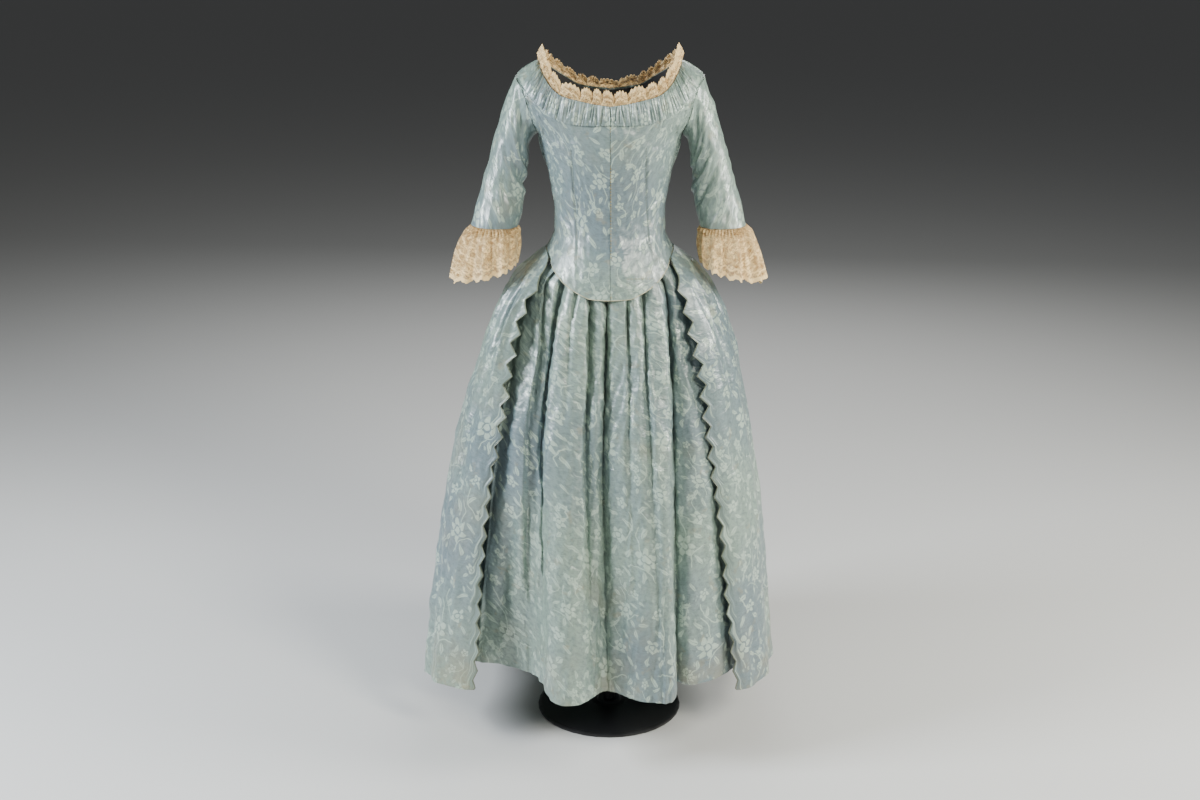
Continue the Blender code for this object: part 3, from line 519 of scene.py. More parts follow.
TORSO = Torso()


@dataclass
class SidePart:
    """A piece on one side of the wearer.

    Attributes:
        side: The wearer's side.
        finish: Its material.
    """

    side: Side
    finish: Material


@dataclass
class BodiceFront(SidePart):
    """A bodice front, from the centre front to the side seam and over the chest to the shoulder."""

    columns: int = 112
    rows: int = 104
    creases: ClassVar[dict[Side, Table]] = {
        Side.RIGHT: Table(CREASE, (
            (86, 28, 60, 5.5, 1.4, 8), (80, 22, 50, 5, -1.2, -4), (90, 36, 45, 5, -1.2, 16),
            (78, 40, 70, 6, 1, 24), (55, 30, 60, 6, 0.8, 4), (88, 18, 50, 5, 1.1, -10),
            (40, 16, 60, 7, 0.9, -14), (84, 66, 60, 6, 1.6, 52), (76, 70, 60, 6, -1.3, 48),
            (55, 62, 70, 8, 0.9, 30), (20, 55, 50, 8, 0.6, 8), (30, 40, 50, 6, -0.6, -6),
        )),
        Side.LEFT: Table(CREASE, (
            (84, 26, 60, 5.5, 1.5, -8), (88, 33, 55, 5, -1.3, -16), (80, 20, 55, 5, -1.1, 4),
            (86, 42, 60, 6, 1.2, -26), (50, 40, 40, 5, 1.4, -34), (58, 44, 45, 4.5, -1.4, -22),
            (46, 48, 45, 5, 1.2, -12), (62, 36, 50, 6, 1, 14), (82, 64, 60, 6, 1.6, -50),
            (72, 72, 60, 6, -1.2, -44), (34, 18, 60, 7, 0.8, 12), (18, 62, 50, 8, 0.6, -10),
        )),
    }
    darts: Table = Table(
        "z right left depth", (
            (0.955, 0.062, 0.09, 0.0), (0.982, 0.061, 0.084, 0.0012), (1.009, 0.061, 0.073, 0.0022),
            (1.088, 0.066, 0.067, 0.0024), (1.15, 0.0705, 0.066, 0.002), (1.185, 0.0725, 0.066, 0.0),
        ))
    dart_width: float = 0.0026
    crease_share: float = 1.7

    def grid(self) -> ClothGrid:
        """Give the front's outside."""
        top = TORSO.front_top
        columns = []
        for k in range(self.columns + 1):
            share = k / self.columns
            column = TORSO.column((share, TORSO.hem.at("z", share)), (top.at("x", share), top.at("z", share)),
                                  top.at("bend", share), "front", self.rows, self.side)
            columns.append([(x, y + self.dart_depth(abs(x), z), z) for x, y, z in column])
        made = ClothGrid(np.array(columns).transpose(1, 0, 2))
        creased = made.creased(self.creases[self.side], self.crease_share)
        return creased.crumpled(31 + self.side.value, 0.0006, 0.022)

    def dart_depth(self, x: float, z: float) -> float:
        """Give how far the sewn dart draws the cloth in at a place.

        Args:
            x: The distance from the middle.
            z: The height.

        Returns:
            The depth, above 0 towards the form.
        """
        if not self.darts.rows[0][0] < z < self.darts.rows[-1][0]:
            return 0.0
        gap = (x - self.darts.at(self.side.word, z)) / self.dart_width
        groove = exp(-gap * gap)
        beside = 0.35 * exp(-((gap - 2.2) / 1.6) ** 2)
        return self.darts.at("depth", z) * (groove - beside)

    def build(self) -> Piece:
        return sewn("bodice_front_cloth_" + self.side.word, self.grid(), self.finish,
                    ["bodice_front_" + self.side.word], start=(0.055 * self.side.value, 0.02))


@dataclass
class SideBack(SidePart):
    """A side back, from the side seam over the shoulder to its edge beneath the sack."""

    columns: int = 56
    rows: int = 72
    creases: Table = Table(CREASE, (
        (14, 25, 55, 5.5, 1.4, 8), (22, 20, 50, 5, -1.1, -6), (12, 36, 50, 5.5, -1.2, 18),
        (40, 30, 60, 6, 1, 4),
    ))

    def grid(self) -> ClothGrid:
        """Give the side back's outside."""
        top = TORSO.back_top
        columns = []
        for k in range(self.columns + 1):
            order = top.rows[-1][0] * k / self.columns
            columns.append(TORSO.column((top.at("hem_share", order), TORSO.hem.rows[-1][1]),
                                        (top.at("x", order), top.at("z", order)), top.at("bend", order),
                                        "back", self.rows, self.side))
        return ClothGrid(np.array(columns).transpose(1, 0, 2)).creased(self.creases)

    def build(self) -> Piece:
        return sewn("bodice_side_back_cloth_" + self.side.word, self.grid(), self.finish,
                    ["bodice_side_back_" + self.side.word],
                    start=(0.12 * self.side.value, 0.05))


@dataclass
class NeckBand(SidePart):
    """A ruched band of silk on one half of the neckline.

    Attributes:
        edges: Upper and lower edge, from the centre front to the shoulder.
        gathers: Narrow grooves along it.
        rise: How far the cloth stands out between them.
    """

    edges: Table = Table(
        "order x z low_x low_z", (
            (0, 0.0006, 1.2635, 0.0006, 1.231), (1, 0.03, 1.2675, 0.033, 1.23),
            (2, 0.06, 1.2735, 0.067, 1.232), (3, 0.09, 1.2815, 0.098, 1.24),
            (4, 0.11, 1.2965, 0.124, 1.256), (5, 0.1255, 1.3185, 0.148, 1.279),
            (6, 0.1365, 1.3385, 0.172, 1.315),
        ))
    gathers: int = 38
    rise: float = 0.0042
    columns: int = 300
    rows: int = 22

    def grid(self) -> ClothGrid:
        """Give the band's outside: soft ridges, parted by narrow grooves of uneven length."""
        rng = np.random.default_rng(7 + self.side.value)
        starts = (np.arange(self.gathers) + rng.uniform(-0.42, 0.42, self.gathers)) / (self.gathers - 1)
        depths = rng.uniform(0.15, 1.0, self.gathers) ** 1.3
        widths = rng.uniform(0.0042, 0.0085, self.gathers)
        ends = rng.uniform(0.45, 1.25, self.gathers)
        leans = rng.uniform(-0.9, 0.9, self.gathers) / self.gathers
        phases = rng.uniform(0, 2 * pi, 4)
        grid = np.zeros((self.rows + 1, self.columns + 1, 3))
        out = np.zeros((self.rows + 1, self.columns + 1))
        last = self.edges.rows[-1][0]
        for c in range(self.columns + 1):
            share = c / self.columns
            order = share * last
            top = np.array([self.edges.at("x", order), self.edges.at("z", order)])
            low = np.array([self.edges.at("low_x", order), self.edges.at("low_z", order)])
            for r in range(self.rows + 1):
                down = r / self.rows
                scallop = 0.0009 * sin(2 * pi * self.gathers * share) * down
                x, z = top + (low - top) * down
                z = min(z + scallop, TORSO.shoulder_z(x) - 0.0002)
                grid[r, c] = (self.side.value * x, TORSO.depth(x, z, "front"), z)
                gap = (share - starts - leans * (down - 0.3)) / widths
                reach = np.clip((ends - down) / 0.25, 0.0, 1.0)
                groove = float(np.max(depths * reach * np.exp(-gap ** 2)))
                soft = sum(sin(turns * share * pi * 2 + phase + bend * down) / 4
                           for turns, bend, phase in zip((11, 17, 26, 7), (1.5, -1.2, 0.8, 2.0), phases))
                swell = 0.40 + 0.60 * sin(pi * min(1.0, 0.12 + 0.84 * down))
                out[r, c] = LAP + self.rise * (0.55 + 0.45 * soft - groove) * swell
        return ClothGrid(grid).moved_out(np.maximum(out, 0.6 * LAP))

    def build(self) -> Piece:
        return sewn("neck_band_cloth_" + self.side.word, self.grid(), self.finish,
                    ["neck_band_" + self.side.word],
                    thick=BAND_THICK)


@dataclass
class Sleeve(SidePart):
    """A fitted sleeve, from the armhole to its hem below the elbow.

    Attributes:
        rings: Underarm point, outer point, half depth and centre of each ring.
        spread: How far out the whole sleeve hangs.
    """

    rings: Table = Table(
        "order in_x in_z out_x out_z half_depth y", (
            (0, 0.146, 1.198, 0.19, 1.286, 0.0575, 0.0), (1, 0.153, 1.183, 0.205, 1.247, 0.057, 0.0),
            (2, 0.156, 1.16, 0.2175, 1.207, 0.0545, 0.0), (3, 0.16, 1.13, 0.231, 1.16, 0.052, 0.0),
            (4, 0.163, 1.098, 0.244, 1.114, 0.05, -0.002), (5, 0.166, 1.07, 0.255, 1.078, 0.049, -0.006),
            (6, 0.172, 1.045, 0.2625, 1.049, 0.048, -0.01),
            (7, 0.177, 1.027, 0.2675, 1.03, 0.0475, -0.013),
        ))
    per_half: int = 60
    rows: int = 84
    crease_share: float = 1.9
    creases: ClassVar[dict[Side, Table]] = {
        Side.RIGHT: Table(CREASE, (
            (42, 55, 75, 6, -3, 4), (40, 60, 70, 5.5, 2.6, -5), (43, 48, 70, 6, 2.4, 9),
            (36, 70, 60, 5.5, -2.2, -12), (44, 40, 60, 6, -2, 16), (30, 32, 90, 7.5, 2, 38),
            (34, 22, 80, 7, -2.4, 46), (24, 18, 80, 8, 2.2, 55), (26, 45, 90, 9, -1.4, 28),
            (20, 66, 80, 9, 1.3, -20), (30, 84, 70, 7, 1.5, -6), (12, 10, 50, 6, 1.6, 70),
            (60, 55, 70, 6.5, -2.4, -6), (62, 34, 80, 8, 2, -30),
        )),
        Side.LEFT: Table(CREASE, (
            (41, 52, 75, 6, -2.8, -3), (43, 58, 70, 5.5, 2.6, 6), (39, 65, 70, 6, -2.4, 10),
            (44, 44, 60, 5.5, 2.2, -10), (36, 34, 80, 7, -2.2, 30), (28, 26, 90, 8, 2.2, 44),
            (33, 16, 80, 7, -2.4, 50), (22, 40, 90, 9, 1.3, 24), (24, 74, 80, 8.5, -1.4, -14),
            (16, 58, 80, 9, 1.2, -24), (34, 88, 60, 6.5, 1.4, 4), (10, 12, 50, 6, 1.6, 68),
            (60, 60, 70, 6.5, 2.2, 8), (64, 30, 80, 8, -2, -34),
        )),
    }

    @property
    def spread(self) -> float:
        """How far out the sleeve hangs, a little less on the wearer's left."""
        return 1.0 if self.side is Side.RIGHT else 0.985

    def ring(self, order: float, angles: Sequence[float]) -> np.ndarray:
        """Give the points of a ring.

        Args:
            order: The ring's place down the sleeve.
            angles: The points' angles, 0 at the outer side and rising to the front.

        Returns:
            The points, by place and axis.
        """
        row = {name: self.rings.at(name, order) for name in self.rings.names.split()[1:]}
        out = self.side.value * self.spread
        low = np.array([out * row["in_x"], row["y"], row["in_z"]])
        high = np.array([out * row["out_x"], row["y"], row["out_z"]])
        centre, up = (low + high) / 2, (high - low) / 2
        front = np.array([0.0, -row["half_depth"], 0.0])
        return np.array([centre + up * cos(angle) + front * sin(angle) for angle in angles])

    def grid(self) -> ClothGrid:
        """Give the sleeve's outside, from the armhole down."""
        loop = TORSO.armhole(self.side, self.per_half)
        top, bottom = loop[0], loop[len(loop) // 2]
        centre, up = (top + bottom) / 2, (top - bottom) / 2
        deep = max(abs(loop[:, 1]))
        angles = [atan2(-(point[1] - centre[1]) / deep, np.dot(point - centre, up) / np.dot(up, up))
                  for point in loop]
        head = loop + np.array([self.side.value * 2.5 * SEAM, 0.0, 0.0])
        rings = [head] + [self.ring(row[0], angles) for row in self.rings.rows]
        places = [(len(rings) - 1) * r / self.rows for r in range(self.rows + 1)]
        made = ClothGrid(np.array([spline(rings, at) for at in places]), closed=True)
        creased = made.creased(self.creases[self.side], self.crease_share)
        return creased.crumpled(11 + self.side.value, 0.0010, 0.036)

    def build(self) -> Piece:
        return sewn("sleeve_cloth_" + self.side.word, self.grid(), self.finish,
                    ["sleeve_" + self.side.word],
                    start=(0.03, 0.10))


@dataclass
class SleeveRuffle:
    """A gathered lace ruffle on a sleeve hem.

    Attributes:
        sleeve: The sleeve that it hangs from.
        finish: The lace.
        spread: How far the ruffle has spread outward, inward and in depth, by its fall.
        fall_out: Its length at the outer side.
        fall_in: Its length beside the body.
    """

    sleeve: Sleeve
    finish: Material
    spread: Table = Table(
        "fall outer inner depth wave", (
            (0.0, 0.0, 0.0, 0.0, 0.0), (0.15, 0.012, 0.003, 0.01, 0.003),
            (0.45, 0.024, 0.004, 0.021, 0.0055), (0.75, 0.031, 0.001, 0.027, 0.0075),
            (1.0, 0.036, -0.003, 0.03, 0.009),
        ))
    waves: int = 10
    fall_out: float = 0.106
    fall_in: float = 0.066
    columns: int = 300
    rows: int = 34

    def grid(self) -> ClothGrid:
        """Give the ruffle's outside, from the sleeve hem down."""
        side = self.sleeve.side.value
        angles = [2 * pi * k / self.columns for k in range(self.columns)]
        ring = self.sleeve.ring(self.sleeve.rings.rows[-1][0], angles)
        centre = ring.mean(axis=0)
        rng = np.random.default_rng(5 + side)
        phases = rng.uniform(0, 2 * pi, 4)
        grid = []
        for r in range(self.rows + 1):
            fall = r / self.rows
            wave_depth = self.spread.at("wave", fall)
            pinch = exp(-((fall - 0.07) / 0.09) ** 2)
            points = []
            for k, angle in enumerate(angles):
                outer = 0.5 + 0.5 * cos(angle)
                spread = self.spread.at("outer", fall) * outer + self.spread.at("inner", fall) * (1 - outer)
                drop = self.fall_out * outer + self.fall_in * (1 - outer)
                lean = 0.5 * sin(2 * angle + 0.8) + 0.35 * sin(5 * angle + side)
                wave = cos(self.waves * angle + lean)
                wave += 0.60 * cos(23 * angle + phases[0] + 2.0 * fall) * (1 - 0.5 * fall)
                out = wave_depth * wave * (0.4 + 0.6 * outer)
                gather = cos(47 * angle + phases[1] + 1.4 * sin(3 * angle + phases[2]))
                out += 0.0030 * pinch * gather
                scallop = 0.003 * fall * cos(20 * angle)
                hem = 0.0016 * fall ** 6 * abs(sin(34 * angle))
                x, y, z = ring[k]
                x += side * cos(angle) * (spread + out)
                y -= sin(angle) * (self.spread.at("depth", fall) + out)
                points.append((x, y, z - 1.5 * SEAM - drop * fall + scallop - hem))
            grid.append(points)
        made = np.array(grid)
        made[0] = centre + (made[0] - centre) * 0.996
        return ClothGrid(made, closed=True)

    def build(self) -> Piece:
        word = self.sleeve.side.word
        return sewn("sleeve_ruffle_cloth_" + word, self.grid(), self.finish,
                    ["sleeve_ruffle_" + word], thick=LACE_THICK)


@dataclass
class NeckLace:
    """A gathered lace frill that stands inside the neckline, in small domed rosettes.

    Attributes:
        finish: The lace.
        heights: Its height by the distance from the middle.
        rosettes: Number of rosettes round the neck.
        back_share: Its height at the back, against the front.
        valley: Its height between two rosettes, against their tops.
        dome: How far a rosette stands out.
        petal: Distance of the petals from the middle of a rosette.
    """

    finish: Material
    heights: Table = Table("x height", ((0.0, 0.027), (0.06, 0.028), (0.11, 0.030), (0.137, 0.031)))
    columns: int = 640
    rows: int = 20
    rosettes: int = 30
    back_share: float = 0.72
    valley: float = 0.56
    dome: float = 0.0058
    petal: float = 0.0080

    def grid(self) -> ClothGrid:
        """Give the frill's outside, from the neckline up."""
        base, inward = TORSO.neckline(self.columns)
        run = np.linalg.norm(np.roll(base, -1, axis=0) - np.roll(base, 1, axis=0), axis=1).sum() / 2
        rng = np.random.default_rng(17)
        tall = rng.uniform(0.90, 1.05, self.rosettes)
        phase = rng.uniform(0, 2 * pi, self.rosettes)
        grid = []
        for r in range(self.rows + 1):
            rise = r / self.rows
            line = []
            for k in range(self.columns):
                turned = 2 * pi * k / self.columns
                place = self.rosettes * k / self.columns + 0.5 + 0.26 * sin(7 * turned + 1.0)
                place = (place + 0.30 * sin(3 * turned)) % self.rosettes
                number = int(place)
                aside = place - int(place) - 0.5
                lobe = cos(pi * aside) ** 0.55
                height = self.heights.at("height", abs(base[k][0]))
                height *= self.back_share if base[k][1] > 0 else 1.0
                height *= tall[number] * (self.valley + (1 - self.valley) * lobe)
                beside = aside * run / self.rosettes
                above = height * (rise - 0.52)
                reach = hypot(beside, above)
                turn = atan2(above, beside)
                petals = cos(7 * turn + phase[number]) * exp(-((reach - self.petal) / 0.0040) ** 2)
                knob = exp(-(reach / 0.0028) ** 2) - 0.8 * exp(-((reach - 0.0042) / 0.0012) ** 2)
                out = self.dome * lobe * sin(pi * min(1.0, 0.12 + 0.80 * rise))
                out += (0.0015 * petals + 0.0016 * knob) * min(1.0, 2 * rise)
                out += 0.0006 * sin(23 * turned + 9 * rise) * sin(61 * turned - 5 * rise)
                edge = 0.0018 * rise ** 4 * cos(10 * pi * aside + phase[number])
                lean = SEAM + rise * 0.0085 - out * min(1.0, 3 * rise)
                lift = 1.25 * SEAM + height * rise + edge
                line.append(base[k] + inward[k] * lean + np.array([0.0, 0.0, lift]))
            grid.append(line)
        return ClothGrid(np.array(grid), closed=True)

    def build(self) -> Piece:
        return sewn("neck_lace_cloth", self.grid(), self.finish, ["neck_lace"],
                    thick=LACE_THICK)


@dataclass
class FormCover:
    """Edge of the form's black jersey cover, which stands just inside the neckline.

    Attributes:
        finish: The jersey.
        inset: Its distance from the neckline.
        drop: How far its upper edge stays under the neckline.
        height: How tall it is.
    """

    finish: Material
    inset: float = 0.0040
    drop: float = 0.0025
    height: float = 0.030
    columns: int = 200
    rows: int = 8

    def grid(self) -> ClothGrid:
        """Give the cover's outside, from its upper edge down."""
        base, inward = TORSO.neckline(self.columns)
        ring = base + self.inset * inward
        falls = [self.drop + self.height * r / self.rows for r in range(self.rows + 1)]
        return ClothGrid(np.array([ring - np.array([0.0, 0.0, fall]) for fall in falls]), closed=True)

    def build(self) -> Piece:
        return sewn("form_cover_edge", self.grid(), self.finish, [],
                    thick=COVER_THICK)


def quarter(start: np.ndarray, end: np.ndarray, at: float, from_side: bool = False) -> np.ndarray:
    """Give a point on a quarter of an oval.

    Args:
        start: Its start in plan.
        end: Its end in plan.
        at: How far along it, from 0 to 1.
        from_side: Whether it leaves its start along Y, and not along X.

    Returns:
        The point in plan.
    """
    turn = 0.5 * pi * at
    along, across = sin(turn), 1 - cos(turn)
    if from_side:
        along, across = across, along
    return np.array([start[0] + (end[0] - start[0]) * along, start[1] + (end[1] - start[1]) * across])


@dataclass
class Petticoat:
    """The petticoat: a tube, pleated to its waistband, with the folds of the photograph in front.

    Attributes:
        finish: The silk.
        sizes: Half width, and depths before and behind, by height.
        folds: Where each front fold runs at four heights, how far it stands out, and its place on the hem,
            in millimetres.
        grooves: Deep narrow valleys: the fold's row, and depth at the hip, the knee and the hem.
    """

    finish: Material
    sizes: Table = Table(
        "z half_width front back", (
            (0.15, 0.333, 0.262, 0.385), (0.4, 0.298, 0.225, 0.335), (0.631, 0.262, 0.186, 0.262),
            (0.813, 0.218, 0.152, 0.188), (0.926, 0.17, 0.133, 0.118), (0.955, 0.134, 0.119, 0.1),
            (0.985, 0.108, 0.105, 0.08),
        ))
    folds: Table = Table(
        "hip_x upper_x knee_x hem_x hip knee hem_y", (
            (-152, -176, -214, -262, 0, 0, -112), (-139, -156, -191, -221, 3, 6, -120),
            (-128, -138, -167, -178, 5, 10, -148), (-123, -132, -158, -158, -3, -4, -160),
            (-105, -117, -139, -141, -2, -10, -184), (-92, -110, -129, -131, -9, -14, -212),
            (-78, -103, -119, -116, 3, 10, -276), (-62, -78, -84, -82, 5, 16, -302),
            (-47, -47, -56, -50, 4, 10, -288), (-39, -40, -46, -32, -8, -4, -265),
            (-16, -18, -28, -17, 3, 2, -247), (-6, -7, -13, -4, -9, -19, -238),
            (5, 6, 1, 16, 3, -5, -250), (24, 26, 25, 40, 3, 6, -269),
            (31, 34, 37, 58, -5, 6, -281), (46, 52, 58, 82, 3, 16, -288),
            (62, 66, 76, 101, -5, 11, -290), (74, 78, 90, 113, 3, 19, -290),
            (92, 106, 113, 127, 4, 14, -272), (104, 115, 123, 133, -9, -22, -206),
            (119, 127, 145, 160, 2, -6, -213), (132, 142, 172, 204, 1, 0, -190),
            (146, 155, 196, 246, -2, -4, -142),
        ))
    grooves: Table = Table(
        "fold hip knee hem", (
            (3, 0.009, 0.003, 0.0), (5, 0.012, 0.008, 0.002), (7, 0.008, 0.001, 0.0),
            (9, 0.012, 0.007, 0.001), (11, 0.016, 0.012, 0.003), (14, 0.01, 0.002, 0.0),
            (16, 0.01, 0.003, 0.0), (19, 0.012, 0.014, 0.008),
        ))
    waist_share: float = 0.54
    per_fold: int = 13
    per_quarter: int = 46
    rows: int = 92
    back_waves: int = 8

    def fold_point(self, i: int, z: float) -> np.ndarray:
        """Give the place in plan of a fold at a height.

        Args:
            i: The fold's row.
            z: The height.

        Returns:
            The point in plan.
        """
        fold = {name: size / 1000 for name, size in zip(self.folds.names.split(), self.folds.rows[i])}
        levels = (PETTICOAT_HEM_Z, 0.631, 0.813, 0.926, WAIST_Z)
        xs = (fold["hem_x"], fold["knee_x"], fold["upper_x"], fold["hip_x"], fold["hip_x"] * self.waist_share)
        forward = (fold["knee"], (fold["hip"] + fold["knee"]) / 2, fold["hip"], 0.3 * fold["hip"])
        ys = [fold["hem_y"]]
        for level, x, out in zip(levels[1:], xs[1:], forward):
            share = abs(x / self.sizes.at("half_width", level))
            ys.append(-self.sizes.at("front", level) * max(0.0, 1 - share ** 2.4) ** (1 / 2.4) - out)
        return np.array([smooth_curve(z, levels, xs), smooth_curve(z, levels, ys)])

    def groove_depth(self, at: float, z: float) -> float:
        """Give how deep the narrow valleys are at a place of the front.

        Args:
            at: The place, which counts the folds from 0.
            z: The height.

        Returns:
            The depth.
        """
        fall = (WAIST_Z - z) / (WAIST_Z - PETTICOAT_HEM_Z)
        depth = 0.0
        for fold, hip, knee, hem in self.grooves.rows:
            amount = smooth_curve(fall, (0.0, 0.07, 0.42, 1.0), (0.3 * hip, hip, knee, hem))
            depth += amount * exp(-((at - fold) / 0.20) ** 2)
        return depth

    def ring(self, z: float) -> list[np.ndarray]:
        """Give the points in plan of the ring at a height, from the wearer's right over the front."""
        count = len(self.folds.rows)
        folds = [self.fold_point(i, z) for i in range(count)]
        ring = []
        for k in range((count - 1) * self.per_fold + 1):
            at = k / self.per_fold
            point = spline(folds, at)
            ring.append(point + np.array([0.0, self.groove_depth(at, z)]))
        half, back = self.sizes.at("half_width", z), self.sizes.at("back", z)
        widest, middle = np.array([half, PLAN_Y]), np.array([0.0, back])
        steps = [k / self.per_quarter for k in range(self.per_quarter + 1)]
        right = [quarter(folds[-1], widest, at) for at in steps[1:-1]]
        right += [quarter(widest, middle, at, True) for at in steps]
        left = [quarter(folds[0] * (-1, 1), widest, at) for at in steps[1:-1]]
        left += [quarter(widest, middle, at, True) for at in steps[:-1]]
        hidden = right + [point * (-1, 1) for point in reversed(left)]
        fall = (WAIST_Z - z) / (WAIST_Z - PETTICOAT_HEM_Z)
        wave = 0.0005 + 0.0135 * fall
        for k, point in enumerate(hidden):
            turn = 2 * pi * self.back_waves * (k + 1) / len(hidden)
            inward = wave * (0.5 - 0.5 * cos(turn))
            inward += 0.25 * wave * (0.5 - 0.5 * cos(2.6 * turn + 3 * fall))
            ring.append(point * (1 - inward / max(half, back)))
        return ring

    def grid(self) -> ClothGrid:
        """Give the petticoat's outside, from the waist down."""
        rows = []
        for r in range(self.rows + 1):
            z = WAIST_Z - (WAIST_Z - PETTICOAT_HEM_Z) * (r / self.rows) ** 1.25
            rows.append([(x, y, z) for x, y in self.ring(z)])
        made = ClothGrid(np.array(rows), closed=True)
        share = np.linspace(0, 1, self.rows + 1)[:, None]
        soft = made.crumpled(3, 0.0018, 0.075, stretch=2.2).points
        fine = made.crumpled(4, 0.0012, 0.028, stretch=0.5).points
        blend = np.minimum(1.0, share * 6)[..., None]
        return ClothGrid(made.points + blend * (soft + fine - 2 * made.points), closed=True)

    def build(self) -> Piece:
        return sewn("petticoat_cloth", self.grid(), self.finish, ["petticoat"])


@dataclass
class Waistband:
    """The petticoat's waistband, close round the form under the bodice."""

    finish: Material
    low_z: float = WAIST_Z + 2 * SEAM
    high_z: float = 1.012
    low: Triple = (0.1029, 0.1032, 0.0771)
    high: Triple = (0.1030, 0.1071, 0.0783)
    columns: int = 96

    def grid(self) -> ClothGrid:
        """Give the band's outside: half width, depth before and depth behind of two rings, joined."""
        rows = []
        for r in range(9):
            share = r / 8
            half, front, back = (a + (b - a) * share for a, b in zip(self.low, self.high))
            line = []
            for k in range(self.columns):
                angle = 2 * pi * k / self.columns
                sine, cosine = sin(angle), cos(angle)
                x = half * copysign(abs(sine) ** (2 / BULGE), sine)
                deep = front if cosine > 0 else back
                y = -deep * copysign(abs(cosine) ** (2 / BULGE), cosine)
                line.append((x, y, self.low_z + (self.high_z - self.low_z) * share))
            rows.append(line)
        return ClothGrid(np.array(rows), closed=True)

    def build(self) -> Piece:
        return sewn("petticoat_waistband_cloth", self.grid(), self.finish,
                    ["petticoat_waistband"])


@dataclass(frozen=True)
class Sack:
    """The sack's plain form, which the robe skirts meet."""

    sizes: Table = Table(
        "z half_width edge middle pleat", (
            (0.105, 0.262, 0.352, 0.425, 0.015), (0.3, 0.245, 0.32, 0.385, 0.012),
            (0.5, 0.225, 0.28, 0.335, 0.01), (0.7, 0.2, 0.226, 0.275, 0.0085),
            (0.85, 0.165, 0.166, 0.222, 0.007), (0.93, 0.13, 0.112, 0.192, 0.0062),
            (0.985, 0.095, 0.067, 0.172, 0.006), (1.03, 0.088, 0.06, 0.158, 0.0056),
            (1.15, 0.095, 0.07, 0.131, 0.005), (1.24, 0.097, 0.08, 0.107, 0.0044),
            (1.316, 0.096, 0.08, 0.088, 0.004),
        ))

    def depth(self, x: float, z: float) -> float:
        """Give the Y of the sack without its pleats.

        Args:
            x: The place across.
            z: The height.

        Returns:
            The Y.
        """
        half = self.sizes.at("half_width", z)
        edge = self.sizes.at("edge", z)
        if z > WAIST_Z:
            edge = TORSO.depth(half, z, "back") + SACK_LAP
        share = min(1.0, abs(x) / half)
        middle = max(self.sizes.at("middle", z), TORSO.depth(0.0, z, "back") + SACK_LAP)
        body = edge + (middle - edge) * (1 - share ** BULGE)
        if z > WAIST_Z:
            body = max(body, TORSO.depth(abs(x), z, "back") + SACK_LAP)
        return body


SACK = Sack()


